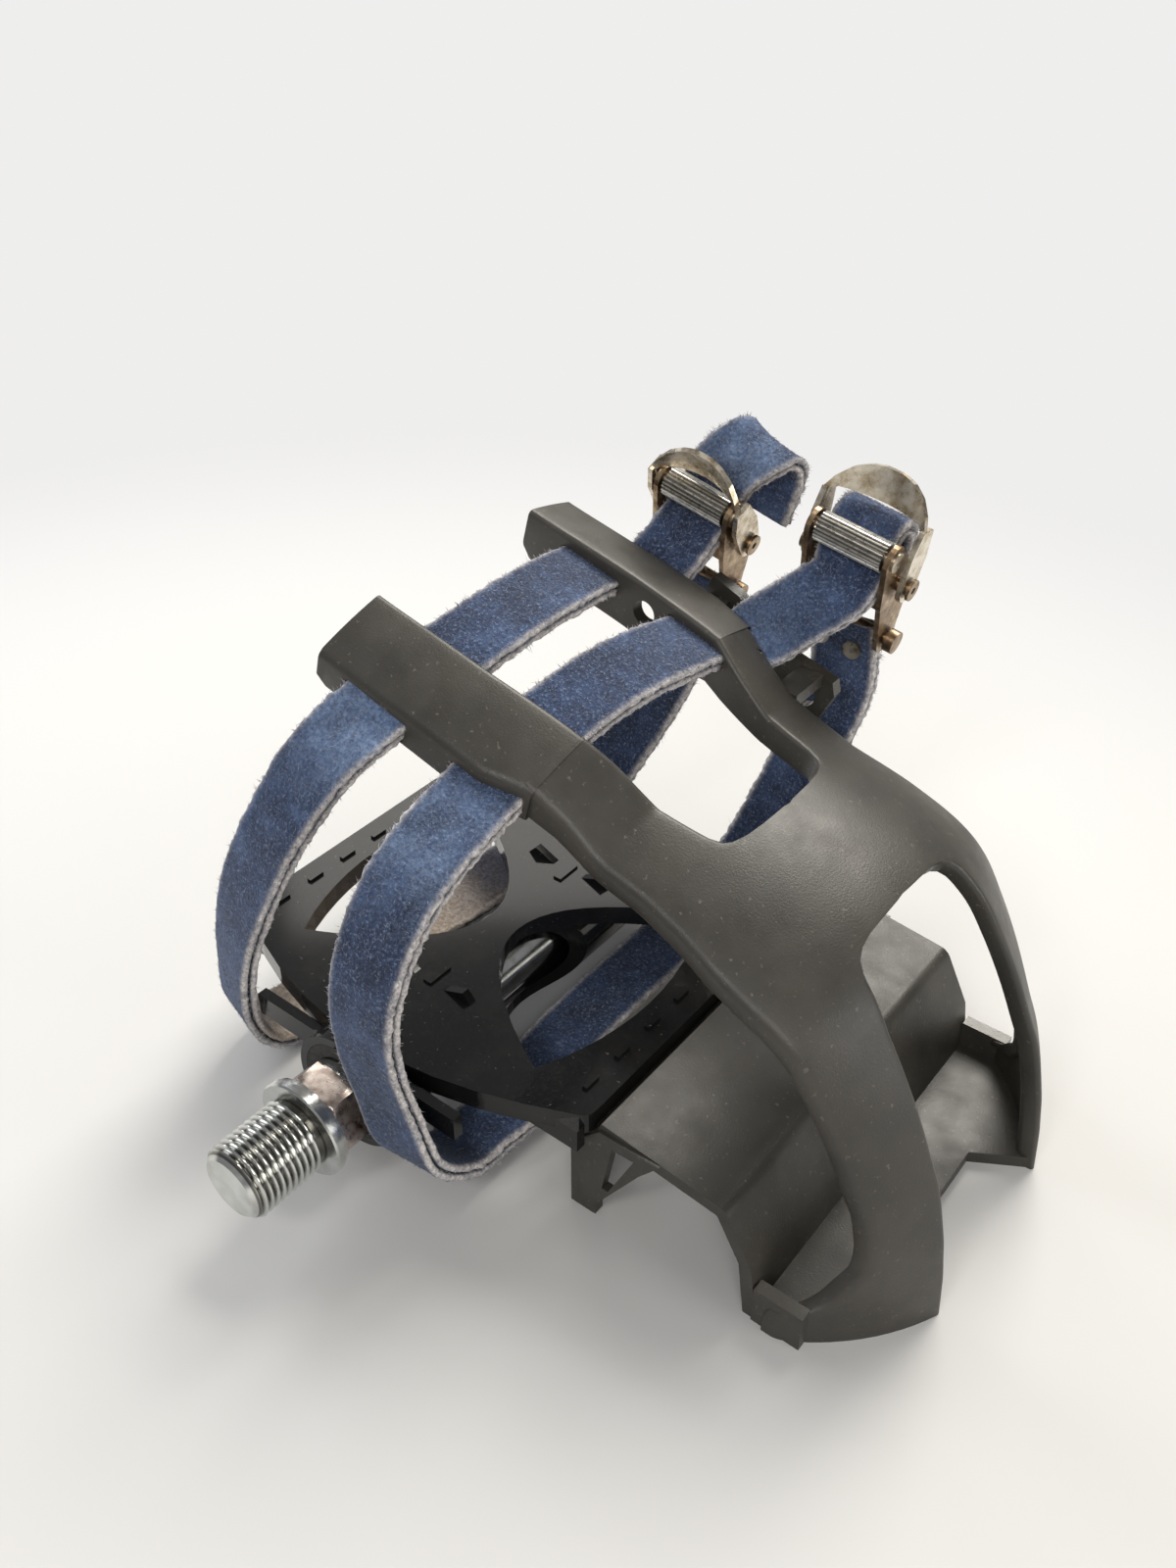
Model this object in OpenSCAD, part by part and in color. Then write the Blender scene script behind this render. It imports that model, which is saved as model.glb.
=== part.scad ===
// Left platform pedal with a moulded toe cage and two quick-release straps.
// Origin: centre of the spindle flange's crank face, on the spindle axis.
// +X points to the toe, +Y outboard along the spindle, +Z up. Millimetres.

/* [Spindle] */
// Outside radius of the crank thread
thread_r = 7.14; // [7.1:0.01:7.2]
// Length of the crank thread
thread_len = 15.3; // [13:0.1:17]
// Radius of the flange that seats on the crank
flange_r = 9.5; // [9:0.1:10.5]
// Circumradius of the wrench hexagon
hex_r = 8.66; // [8:0.01:8.9]
// Radius of the shaft inside the barrel
shaft_r = 5.4; // [4.8:0.1:5.6]

/* [Bearings] */
// Radius of a bearing ball
ball_r = 1.5875; // [1.5:0.0005:1.6]
// Play between the balls and their races
race_play = 0.15; // [0.1:0.01:0.2]
// Pitch radius of the inboard balls
inboard_pitch_r = 7.4; // [7.3:0.05:7.5]
// Pitch radius of the outboard balls
outboard_pitch_r = 6.6; // [6.5:0.05:6.7]
// Place of the inboard balls along the spindle
inboard_ball_y = 15.2; // [15:0.1:15.6]
// Place of the outboard balls along the spindle
outboard_ball_y = 88; // [86:0.5:89]

/* [Platform] */
// Middle of the platform along the spindle
platform_mid_y = 53.7; // [53:0.1:54.5]
// Half length of the platform from heel to toe
platform_half_x = 42.3; // [41:0.1:43]
// Half width of the platform at the spindle
platform_half_y = 38.7; // [37:0.1:39]
// Radius of the bowed sides
platform_side_r = 78; // [70:1:90]
// Height of the platform's top face
platform_top_z = 10; // [9.5:0.1:10.5]
// Depth of the rim below the top face
rim_depth = 4.2; // [3.5:0.1:4.5]
// Thickness of walls and skin
platform_wall = 2.2; // [1.8:0.1:2.6]
// Outside radius of the barrel
barrel_r = 10; // [9.8:0.1:10.2]

/* [Toe cage] */
// Middle of the cage along the spindle
cage_mid_y = 65; // [64:0.5:66]
// Wall thickness of the cage shell
cage_wall = 2.4; // [2.2:0.1:2.6]
// Wall thickness of the finger flanges
flange_wall = 2.6; // [2.2:0.1:3]
// Height of the table under the resting pedal
table_z = -16; // [-16:1:-16]
// Radius of the rounded shell edges
edge_r = 1.2; // [0.8:0.1:1.4]
// Growth of the outboard finger's arch radius, where its strap holds it up
finger_spring = 36; // [0:1:40]

/* [Straps] */
// Width of a strap
strap_w = 13; // [12:0.5:14]
// Thickness of the two plies together
strap_t = 3; // [2.6:0.1:3]

/* [Buckles] */
// Radius of the grooved roller
roller_r = 2.8; // [2.6:0.1:3]
// Length of the grooved roller
roller_len = 13.4; // [13:0.1:14]
// Number of grooves round the roller
roller_grooves = 22; // [16:1:26]
// Thickness of the sheet steel
sheet_t = 1; // [0.8:0.1:1.2]
// Half distance between the outer faces of the frame's cheeks
cheek_u = 8.4; // [8.2:0.1:8.8]
// Angle that the front lever leans towards the foot
front_lever_lean = -8; // [-8:1:0]
// Angle that the rear lever leans towards the foot
rear_lever_lean = 30; // [28:1:34]

/* [Hidden] */
$fn = 64;
e = 0.01;

steel_zinc = [0.72, 0.72, 0.7];
steel_buckle = [0.68, 0.6, 0.48];
cage_black = [0.13, 0.125, 0.12];
gloss_black = [0.04, 0.04, 0.04];
strap_blue = [0.1, 0.17, 0.33];

// Places along the spindle
barrel_y0 = 11;
barrel_y1 = 97;
cup_depth = 3.2;
inboard_cup_r = 10;
outboard_cup_r = 9.2;
cup_back_y = inboard_ball_y + cup_depth;
outer_cup_back_y = outboard_ball_y - cup_depth;
end_thread_r = 3.75;
race_r = ball_r + race_play;

// Screws of the cage's tongue
screw_x = 37.5;
screw_ys = [-20, 0, 20];
screw_r = 1.7;

// Turns a shape drawn along +Z so that it runs along +Y
module along_y(y = 0) {
  translate([0, y, 0]) rotate([-90, 0, 0]) children();
}

// Points of an arc in the plane
function arc(c, r, a0, a1, n) =
  [for (i = [0:n]) c + r * [cos(a0 + (a1 - a0) * i / n), sin(a0 + (a1 - a0) * i / n)]];

// Catmull-Rom point on a list of vectors, s from 0 to len(v) - 1
function spline(v, s) =
  let (n = len(v) - 1, i = min(floor(s), n - 1), t = s - i,
       a = v[max(i - 1, 0)], b = v[i], c = v[i + 1], d = v[min(i + 2, n)])
  0.5 * (2 * b + (c - a) * t + (2 * a - 5 * b + 4 * c - d) * t * t
         + (3 * b - a - 3 * c + d) * t * t * t);

function unit(v) = v / norm(v);

// Closed tube through rings of points that all run the same way round
module ring_tube(rings) {
  k = len(rings[0]);
  m = len(rings);
  polyhedron(
    points = [for (r = rings) each r],
    faces = concat(
      [[for (j = [0:k - 1]) j]],
      [for (i = [0:m - 2], j = [0:k - 1])
        let (jn = (j + 1) % k)
        each [[i * k + j, (i + 1) * k + j, (i + 1) * k + jn],
              [i * k + j, (i + 1) * k + jn, i * k + jn]]],
      [[for (j = [0:k - 1]) (m - 1) * k + k - 1 - j]]
    ),
    convexity = 10
  );
}

// Spindle, turned from one bar with its inboard race ground on
module spindle() {
  tip_chamfer = 1.5;
  hex_y = 3.06;
  hex_len = 5.6;
  flange_t = 2.6;
  neck_r = 7.4;
  shoulder_y = 13.2;
  shoulder_r = 7;
  step_r = 4.6;
  end_y = 99;
  color(steel_zinc) {
    along_y() rotate_extrude() polygon(concat(
      [[0, -thread_len], [thread_r - tip_chamfer, -thread_len],
       [thread_r, tip_chamfer - thread_len], [thread_r, 0], [flange_r - 0.3, 0], [flange_r, 0.3],
       [flange_r, flange_t - 1], [flange_r - 0.5, flange_t - 1], [flange_r - 0.5, flange_t],
       [neck_r, flange_t], [neck_r, 10.4], [shoulder_r, 10.8], [shoulder_r, shoulder_y - 0.6]],
      [for (p = arc([inboard_pitch_r, inboard_ball_y], race_r, 270 - 75, 180, 8))
        [min(p[0], shoulder_r), p[1]]],
      [[inboard_pitch_r - race_r, inboard_ball_y + 1], [shaft_r, inboard_ball_y + 1.6],
       [shaft_r, 78], [step_r, 79], [step_r, outboard_ball_y + 1.2],
       [end_thread_r, outboard_ball_y + 1.2], [end_thread_r, end_y - 0.6], [3.2, end_y],
       [0, end_y]]
    ));
    along_y(hex_y) rotate([0, 0, 10]) intersection() {
      cylinder(r = hex_r, h = hex_len, $fn = 6);
      rotate_extrude() polygon([[0, 0], [hex_r - 0.56, 0], [hex_r + 0.04, 0.5],
                                [hex_r + 0.04, hex_len - 0.5], [hex_r - 0.56, hex_len],
                                [0, hex_len]]);
    }
  }
}

// Rubber lip ring that closes the barrel's inboard end
module inboard_seal() {
  lip_r = 7.05;
  seal_y1 = barrel_y0 + 1.6;
  color([0.08, 0.08, 0.08]) along_y() rotate_extrude() polygon([
    [lip_r, barrel_y0 + 0.4], [7.4, barrel_y0], [9.9, barrel_y0], [9.9, seal_y1], [lip_r, seal_y1]
  ]);
}

// Pressed race ring, open towards the ball side
module cup(pitch_r, outer_r, back_r) {
  lip = -1.9;
  rotate_extrude() polygon(concat(
    [[outer_r, lip], [outer_r, cup_depth], [back_r, cup_depth], [back_r, race_r]],
    arc([pitch_r, 0], race_r, 90, 0, 8),
    [[pitch_r + race_r, lip]]
  ));
}

module inboard_cup() {
  color("silver") along_y(inboard_ball_y) cup(inboard_pitch_r, inboard_cup_r, 6.3);
}

module outboard_cup() {
  color("silver") translate([0, outboard_ball_y, 0]) rotate([90, 0, 0])
    cup(outboard_pitch_r, outboard_cup_r, 5.6);
}

// Ring of loose balls
module ball_ring(pitch_r, count) {
  for (i = [0:count - 1]) rotate([0, 0, 360 * i / count])
    translate([pitch_r, 0, 0]) sphere(r = ball_r, $fn = 32);
}

module inboard_balls() {
  color("lightgray") along_y(inboard_ball_y) ball_ring(inboard_pitch_r, 13);
}

module outboard_balls() {
  color("lightgray") along_y(outboard_ball_y) ball_ring(outboard_pitch_r, 12);
}

// Cone nut on the spindle's end, with the outboard race
module outboard_cone() {
  color("silver") along_y(outboard_ball_y) difference() {
    rotate_extrude() polygon(concat(
      [[0, -1.1], [outboard_pitch_r - race_r, -1.1]],
      arc([outboard_pitch_r, 0], race_r, 180, 105, 8),
      [[6.2, 1.9], [6.2, 5], [0, 5]]
    ));
    translate([0, 0, 1.2]) cylinder(r = end_thread_r, h = 5);
    translate([0, 0, -2]) cylinder(r = 4.6, h = 3.2);
  }
}

module lock_washer() {
  color("gray") along_y(outboard_ball_y + 5) difference() {
    cylinder(r = 6, h = 1);
    translate([0, 0, -1]) cylinder(r = end_thread_r, h = 3);
  }
}

module lock_nut() {
  color("silver") along_y(outboard_ball_y + 6) difference() {
    cylinder(r = 6.35, h = 4, $fn = 6);
    translate([0, 0, -1]) cylinder(r = end_thread_r, h = 6);
  }
}

// Dust cap pushed into the barrel's outboard end
module end_cap() {
  skirt_y = 93.5;
  dome_y = 101.2;
  color(gloss_black) along_y() rotate_extrude() polygon([
    [7.4, skirt_y], [outboard_cup_r, skirt_y], [outboard_cup_r, barrel_y1], [10.6, barrel_y1],
    [10.6, dome_y - 2.6], [9.6, dome_y - 1], [7.2, dome_y - 0.2], [0, dome_y],
    [0, dome_y - 1.4], [6.8, dome_y - 1.6], [7.4, dome_y - 2.4]
  ]);
}

module screw_places() {
  for (y = screw_ys) translate([screw_x, platform_mid_y + y, 0]) children();
}

// Outline of the platform, set back by d: bowed sides, straight ends, round corners
function platform_outline(d) =
  let (hx = platform_half_x - d, rc = 3,
       side = function(x) platform_half_y - d - x * x / (2 * platform_side_r),
       xc = hx - rc, yc = side(xc) - rc)
  concat(
    arc([xc, yc], rc, 0, 78, 5),
    [for (x = [32:-8:-32]) [x, side(x)]],
    arc([-xc, yc], rc, 102, 180, 5),
    arc([-xc, -yc], rc, 180, 258, 5),
    [for (x = [-32:8:32]) [x, -side(x)]],
    arc([xc, -yc], rc, 282, 360, 5)
  );

// Eye-shaped opening in the front half, grown by d: pointed arch with a bowed front
function eye_outline(d) =
  let (apex = 3.4, half = 25, front = 34.6, front_r = 52)
  concat(
    [for (y = [-half:2.5:half]) [apex + pow(y / 5, 2) - d, y * (1 + d / half)]],
    [for (y = [half - 1.5:-4:1.5 - half]) [front - y * y / (2 * front_r) + d, y * (1 + d / half)]]
  );

module platform_skin(d, h) {
  linear_extrude(h) polygon(platform_outline(d));
}

module eye_cut(d, h) {
  linear_extrude(h) polygon(eye_outline(d));
  mirror([1, 0, 0]) linear_extrude(h) polygon(eye_outline(d));
}

// Moulded platform with its barrel, rim, eye openings, webs and grip ribs
module platform() {
  z_skin = platform_top_z - platform_wall;
  z_rim = platform_top_z - rim_depth;
  z_web = 3;
  web_y = 29;
  bore_r = 7.6;
  collar_len = 9;
  boss_r = 3.4;
  color(gloss_black) difference() {
    union() {
      translate([0, platform_mid_y, 0]) {
        difference() {
          translate([0, 0, z_rim]) platform_skin(0, rim_depth);
          translate([0, 0, z_rim - 1]) platform_skin(platform_wall, rim_depth - platform_wall + 1);
        }
        translate([0, 0, z_rim]) intersection() {
          eye_cut(platform_wall, platform_wall + e);
          platform_skin(platform_wall / 2, rim_depth);
        }
        for (sx = [-1, 1], y = [-web_y, web_y])
          translate([sx * 21 - 20.5, y - 1, z_web]) cube([41, 2, z_skin - z_web + e]);
        for (sx = [-1, 1], k = [0:5])
          translate([sx * 38, (k - 2.5) * 8.75, platform_top_z - e]) front_rib();
        for (sy = [-1, 1]) {
          translate([-0.9, sy * 18.6 - 2.7, platform_top_z - e]) cube([1.8, 5.4, 0.5]);
          translate([7, sy * 20, platform_top_z - e]) grip_fin();
          translate([-7, sy * 20, platform_top_z - e]) mirror([1, 0, 0]) grip_fin();
        }
        for (y = screw_ys) translate([screw_x, y, 5.5]) cylinder(r = boss_r, h = 3);
      }
      along_y(barrel_y0) cylinder(r = barrel_r, h = barrel_y1 - barrel_y0);
      along_y(barrel_y0) cylinder(r = barrel_r + 1.6, h = collar_len);
      along_y(barrel_y1 - collar_len) cylinder(r = barrel_r + 1, h = collar_len);
      for (y = [barrel_y0 + 3, barrel_y1 - 5])
        translate([-24, y - 1, z_web]) cube([48, 2, z_skin - z_web + e]);
    }
    translate([0, platform_mid_y, -20]) eye_cut(0, 60);
    along_y(barrel_y0 - 1) cylinder(r = bore_r, h = 120);
    along_y(barrel_y0 - 1) cylinder(r = inboard_cup_r, h = cup_back_y - barrel_y0 + 1);
    along_y(outer_cup_back_y) cylinder(r = outboard_cup_r, h = 30);
    screw_places() cylinder(r = screw_r + 0.05, h = 8.2);
  }
}

// Small grip rib beside the front and rear edges
module front_rib() {
  translate([-0.5, -1.7, 0]) cube([1, 3.4, 0.6]);
}

// Raised triangular grip tooth with a slit beside it
module grip_fin() {
  translate([0, 0.8, 0]) rotate([90, 0, 0]) linear_extrude(1.6)
    polygon([[-3.5, 0], [3, 0], [1.2, 2]]);
}

// Stations of the toe shell from the finger's end over the bend and down to the table.
// Each: x, z of the crown line, then the radius of the arch across it
shell_line = [
  [-16.4, 80.7, 64], [-13, 79.8, 64], [4, 75.6, 64], [18, 71.7, 64], [25, 69.4, 64],
  [27.6, 68, 64], [37.2, 60.2, 64], [39.8, 58.8, 64], [49.2, 56.2, 64], [61, 52.8, 64],
  [72.9, 48.2, 62], [80.4, 42.6, 60], [86, 35, 57], [90.9, 26.8, 54], [95, 18.6, 51],
  [97.6, 12.8, 50], [100.2, 3.1, 48], [101.3, -3, 47], [102, -7.5, 46], [102.8, -16, 45],
  [103, -18.5, 45]
];
// Half width from the middle to the shell's outer edge, against x of the crown line,
// and below the side opening against z
outer_edge_x = [[-17, 32.2], [18, 32.2], [26, 30.1], [34, 28.6], [46, 28.6], [53, 29.4],
                [61, 30.7], [68, 31.2], [78, 31], [84, 30.5], [90, 30], [97, 29.4], [99.5, 29.4]];
outer_edge_z = [[-9.5, 39], [-7, 38.4], [-5.4, 36.4], [-2.6, 33.2], [2, 30.2], [6, 29.4]];
// Half width from the middle to the inner edge: finger, hood, then front window
inner_edge_x = [[-17, 18.8], [6, 18.8], [26.5, 18], [32, 16.4], [38.5, 15.5], [46.7, 14.5],
                [49, 13.8], [50.2, 12.2], [51, 9.6], [51.6, 5], [51.8, -0.3],
                [73.2, -0.3], [73.4, 5], [73.6, 9.5], [74.2, 12.4], [75.2, 14.2], [77, 15.4],
                [83.8, 16.9], [92.2, 17.4], [99.1, 17.8], [103, 18]];
// Depth of the finger's inner and outer flanges
inner_flange = [[-17, 4.6], [-16.2, 8], [-14.5, 10], [-11, 10.9], [22, 11], [30, 8.6], [38.5, 5.8],
                [48, 5.4], [51.4, 3.9], [51.8, 3], [73.2, 3], [73.6, 3.8]];
outer_flange = [[-17, 4.6], [-15, 6.6], [22, 7], [31, 5.4], [38, 3.9], [60, 3.8]];

// Crown line point, its outward normal and its arch radius at station s
function shell_p(s) = let (q = spline(shell_line, s)) [q[0], 0, q[1]];
function shell_r(s) = spline(shell_line, s)[2];
function shell_n(s) =
  let (d = unit(shell_p(min(s + 0.05, len(shell_line) - 1)) - shell_p(max(s - 0.05, 0))))
  [-d[2], 0, d[0]];

// Way that the flanges hang: straight down from the fingers, inward elsewhere
function flange_n(s) =
  let (k = lookup(shell_p(s)[0], [[44, 1], [54, 0]]))
  unit(k * [0.25, 0, 0.97] + (1 - k) * shell_n(s));

// Shell point at station s, w across from the middle and d below the outer face
function shell_at(s, w, d, spring) =
  let (r = shell_r(s) + spring * lookup(shell_p(s)[0], [[25, 1], [50, 0]]))
  shell_p(s) - shell_n(s) * (r - sqrt(r * r - w * w) + min(d, cage_wall))
  - flange_n(s) * max(d - cage_wall, 0) + [0, cage_mid_y + w, 0];

// Section of one side of the shell between its inner and outer edges
function shell_section(s) =
  let (p = shell_p(s), x = p[0],
       wo = max(lookup(x, outer_edge_x), lookup(p[2], outer_edge_z)
                - (p[2] > 6 ? 40 : 0)),
       wi = lookup(x, inner_edge_x), solid = wi < 1,
       ri = solid ? 0.3 : min(edge_r, wi / 4),
       hi = lookup(x, inner_flange), ho = lookup(x, outer_flange),
       tw = flange_wall, n = 6)
  concat(
    [for (i = [0:n]) [wi + ri + (wo - edge_r - wi - ri) * i / n, 0]],
    [for (a = [30:30:90]) [wo - edge_r * (1 - sin(a)), edge_r * (1 - cos(a))]],
    [[wo, ho - 0.7], [wo - 0.7, ho], [wo - tw + 0.5, ho], [wo - tw, ho - 0.5]],
    [for (i = [0:n]) [wo - tw + (wi + 2 * tw - wo) * i / n, cage_wall]],
    [[wi + tw, hi - 0.5], [wi + tw - 0.5, hi], [wi + 0.7, hi], [wi, hi - 0.7]],
    [for (a = [90:-30:30]) [wi + ri * (1 - sin(a)), ri * (1 - cos(a))]]
  );

// Stations are closer where the edges turn
shell_stations = concat(
  [0, 0.3, 0.6], [for (s = [1:0.5:8]) s], [8.1, 8.15, 8.19, 8.21, 8.23, 8.5, 9, 9.5, 9.9],
  [10.02, 10.05, 10.08, 10.14, 10.25, 10.45, 10.7], [for (s = [11:0.5:20]) s]
);

module shell_side(spring) {
  ring_tube([for (s = shell_stations)
    let (section = shell_section(s), k = len(section) - 1)
    [for (j = [k:-1:0]) shell_at(s, section[j][0], section[j][1], spring)]]);
}

module across() {
  translate([0, 2 * cage_mid_y, 0]) mirror([0, 1, 0]) children();
}

// Mirrors its children across the cage's middle plane
module both_sides() {
  children();
  across() children();
}

// Floor plate, knee, riser and low front floor, seen from the side
module floor_profile() {
  polygon(concat(
    [[42.2, 3], [42.2, 5.4], [42.8, 5.4], [44, 8.6]],
    arc([66.6, 3.1], 3, 78, 25, 4),
    [[74, -4.6], [75.4, -13.4], [78, -13.4], [78, table_z], [73.2, table_z], [71.6, -4.6]],
    arc([66.6, 3.1], 0.6, 25, 78, 2),
    [[45.2, 6], [44, 3]]
  ));
}

// Tongue of the floor plate that the screws hold under the platform's front edge
module floor_tongue() {
  translate([31, 27, 3]) cube([12, 54, 2.4]);
}

// Low floor between the feet, open in front where the window runs down
module front_floor() {
  w0 = 38.2;
  translate([0, cage_mid_y, table_z]) linear_extrude(2.6) polygon([
    [75, -w0], [78, -w0], [82, -36.4], [88, -32.6], [92, -28], [96, -22], [98, -18.4],
    [88.4, -12.6], [88.4, 12.6], [98, 18.4], [96, 22], [92, 28], [88, 32.6], [82, 36.4],
    [78, w0], [75, w0]
  ]);
}

// Rear corner tab that stands on the table, with its slotted gusset
module rear_tab() {
  translate([37.5, 27, table_z + 0.4]) cube([5.2, 2.2, 19.4]);
  translate([40, 28.2, 0]) rotate([90, 0, 0]) translate([0, 0, -1.8]) linear_extrude(1.8)
    difference() {
      polygon([[0, -13], [2.6, -13], [12, 2], [16, 7.2], [4, 7.2], [0, 3]]);
      polygon([[6.6, 4.6], [11, 4.9], [5.9, -6.6], [4.6, -6.6]]);
    }
}

// Strap guide rail outboard of the outer finger, held by two bridges
module guide_rail() {
  rail_y = 101.6;
  rail_t = 2.4;
  translate([0, rail_y + rail_t, 0]) rotate([90, 0, 0]) linear_extrude(rail_t) difference() {
    polygon([[10.6, 64.6], [12, 67.6], [17.5, 65.4], [28, 57.6], [38.6, 54.6], [39.2, 52],
             [35.9, 45], [29.5, 45.4], [26, 53.6], [16, 61.4]]);
    translate([32.4, 50.4]) circle(r = 2.95);
  }
  translate([11.4, 94.8, 61.4]) cube([4.6, rail_y - 94.8 + e, rail_t]);
  translate([31.5, 92.6, 53.2]) cube([5, rail_y - 92.6 + e, rail_t]);
}

// Toe cage, one moulding: shell, fingers, floor, feet, tabs and guide rail
module toe_cage() {
  lightening_r = 2.35;
  color(cage_black) difference() {
    union() {
      shell_side(finger_spring);
      across() shell_side(0);
      translate([0, cage_mid_y - 38, 0]) rotate([90, 0, 0]) translate([0, 0, -76])
        linear_extrude(76) floor_profile();
      floor_tongue();
      front_floor();
      both_sides() translate([75, cage_mid_y - 38.4, table_z]) cube([9, 2.4, 8]);
      both_sides() rear_tab();
      guide_rail();
    }
    translate([60, -20, table_z - 10]) cube([80, 170, 10]);
    both_sides() translate([9.3, cage_mid_y - 17, 66.8]) rotate([90, 0, 0])
      cylinder(r = lightening_r, h = 6);
    screw_places() cylinder(r = screw_r + 0.4, h = 8);
    front_passage();
    rear_passage();
  }
}

// Fasteners that hold the cage's tongue to the platform, from below
module cage_screws() {
  head_r = 3;
  head_h = 2;
  socket_r = 1.6;
  color(steel_zinc) screw_places() {
    translate([0, 0, head_h]) cylinder(r = screw_r, h = 6);
    difference() {
      cylinder(r = head_r, h = head_h);
      translate([0, 0, -e]) cylinder(r = socket_r, h = 1.2, $fn = 6);
    }
  }
}

module cage_washers() {
  color("silver") screw_places() difference() {
    translate([0, 0, 2]) cylinder(r = 3.8, h = 1);
    cylinder(r = screw_r, h = 5);
  }
}

// Strap routes: x, y, z of the middle, then y and z of the width direction for x = 1.
// They start at the buckle's anchor, run under the platform and end in the buckle
front_route = [
  [33.4, 114.4, 60.8, 0, -0.17], [33.7, 115.4, 54, 0, -0.17], [33.6, 115, 46, 0, -0.16],
  [31.6, 112.6, 36, 0, -0.12], [27.6, 108, 20, 0, -0.05], [23.2, 102, 5, 0, 0],
  [20, 92, -3.6, 0.04, 0], [19.4, 75, -4.2, 0.06, 0], [19.4, 58, -4.2, 0.08, 0.02],
  [19.6, 44.4, -5, 0.1, 0.04], [19.2, 34.8, -8.9, 0.12, 0.06], [17.9, 26.4, -10.7, 0.13, 0.1],
  [17.8, 17.8, -9.8, 0.1, 0.06], [17.7, 8.9, -0.8, 0.05, 0.04], [14.9, 7.2, 11.2, 0.02, 0.03],
  [13.6, 5.8, 23, 0, 0], [14, 5.8, 34, 0, -0.06], [14.8, 9, 44, 0.02, -0.15],
  [15.2, 15, 51.6, 0.02, -0.24], [15.2, 23, 56, 0, -0.28], [15.5, 32.8, 59.4, 0, -0.28],
  [16.3, 39.5, 62.3, 0, -0.28], [17.3, 46.2, 65, 0, -0.28], [18.7, 56, 67.3, 0, -0.28],
  [19.7, 65, 67.9, 0, -0.28], [20.3, 74, 66.9, 0, -0.3], [20.6, 83.8, 64.9, 0, -0.3],
  [21.4, 91, 62.7, 0, -0.3], [23.4, 97.2, 60.7, 0, -0.3], [29.6, 102, 66, 0, -0.25],
  [35.8, 106.6, 72.2, 0, -0.18], [35.4, 110.4, 76.9, 0, -0.17], [35.9, 111.7, 79.3, 0, -0.17],
  [36.2, 113.4, 81.5, 0, -0.17], [36.3, 115.9, 81.8, 0, -0.17], [36.1, 118.3, 80.4, 0, -0.17],
  [35.6, 119.3, 76, 0, -0.17], [34.2, 119.3, 64, 0, -0.17]
];
rear_route = [
  [0.1, 114.4, 60.2, 0, -0.22], [-0.6, 115.2, 54, 0, -0.18], [-2.8, 114.8, 44, 0.05, -0.1],
  [-6.6, 112.4, 32, 0.1, 0.1], [-12, 107.4, 18, 0.15, 0.2], [-17.4, 101, 5, 0.12, 0.1],
  [-21, 92, -3.1, 0.02, 0], [-21.6, 78, -4.2, -0.1, -0.02], [-22.8, 62, -4.2, -0.15, -0.04],
  [-26.6, 46.4, -5.2, -0.22, -0.08], [-30.8, 34.6, -10, -0.24, -0.14],
  [-32.6, 26.8, -12.7, -0.22, -0.18], [-32.9, 19.2, -9.7, -0.24, -0.06],
  [-31.8, 14.8, -1.6, -0.33, 0.08], [-29.6, 13.2, 9.4, -0.38, 0.22],
  [-26.7, 13.1, 21, -0.26, 0.28], [-22.3, 14.5, 33.6, -0.08, 0.3], [-17.2, 17.7, 46, 0.02, 0.26],
  [-12.5, 23, 56.8, 0.12, 0.06], [-9.4, 28.4, 62.5, 0.1, -0.18], [-7.1, 32.8, 65.5, 0.04, -0.28],
  [-5.1, 39, 68.3, 0, -0.3], [-3.3, 46.2, 70.4, 0, -0.3], [-2, 56, 72.5, 0, -0.28],
  [-1.8, 65, 73.1, 0, -0.27], [-2.4, 74, 72.5, 0, -0.28], [-3.3, 83.8, 71.1, 0, -0.28],
  [-2.3, 91, 69.2, 0, -0.28], [0.4, 97.2, 66.7, 0, -0.28], [2.1, 101.8, 69.6, 0, -0.25],
  [3.3, 107.6, 74.2, 0, -0.22], [3.9, 111.3, 77, 0, -0.22], [4.8, 112, 80.3, 0, -0.24],
  [6.2, 112.6, 83.3, 0, -0.3], [8.5, 113.8, 86, 0, -0.4], [10.8, 116.1, 87.4, 0, -0.46],
  [12, 119.1, 86.8, 0, -0.46], [12, 121, 83, 0, -0.4], [9.6, 120.4, 73.6, 0, -0.3]
];

// Rounded strap section at place s of a route, grown by g
function strap_ring(route, s, g) =
  let (n = len(route) - 1, q = spline(route, s),
       a = spline(route, min(s + 0.05, n)), b = spline(route, max(s - 0.05, 0)),
       t = unit([a[0] - b[0], a[1] - b[1], a[2] - b[2]]),
       w0 = [1, q[3], q[4]], w = unit(w0 - (w0 * t) * t), h = cross(w, t),
       hw = strap_w / 2 + g, ht = strap_t / 2 + g, c = 0.5)
  [for (p = [[hw - c, ht], [hw, ht - c], [hw, c - ht], [hw - c, -ht],
             [c - hw, -ht], [-hw, c - ht], [-hw, ht - c], [c - hw, ht]])
    [q[0], q[1], q[2]] + p[0] * w + p[1] * h];

module strap_run(route, s0, s1, g) {
  ring_tube([for (i = [0:ceil((s1 - s0) * 2)]) strap_ring(route, min(s0 + i / 2, s1), g)]);
}

// Strap with its fixed end looped round the anchor pin and pierced by the rivets
module front_strap() {
  color(strap_blue) difference() {
    union() {
      strap_run(front_route, 0, len(front_route) - 1, 0);
      on_front() cross_pin(anchor, end_loop_r, strap_w / 2);
    }
    on_front() strap_holes();
  }
}

module rear_strap() {
  color(strap_blue) difference() {
    union() {
      strap_run(rear_route, 0, len(rear_route) - 1, 0);
      on_rear() cross_pin(anchor, end_loop_r, strap_w / 2);
    }
    on_rear() strap_holes();
  }
}

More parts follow.
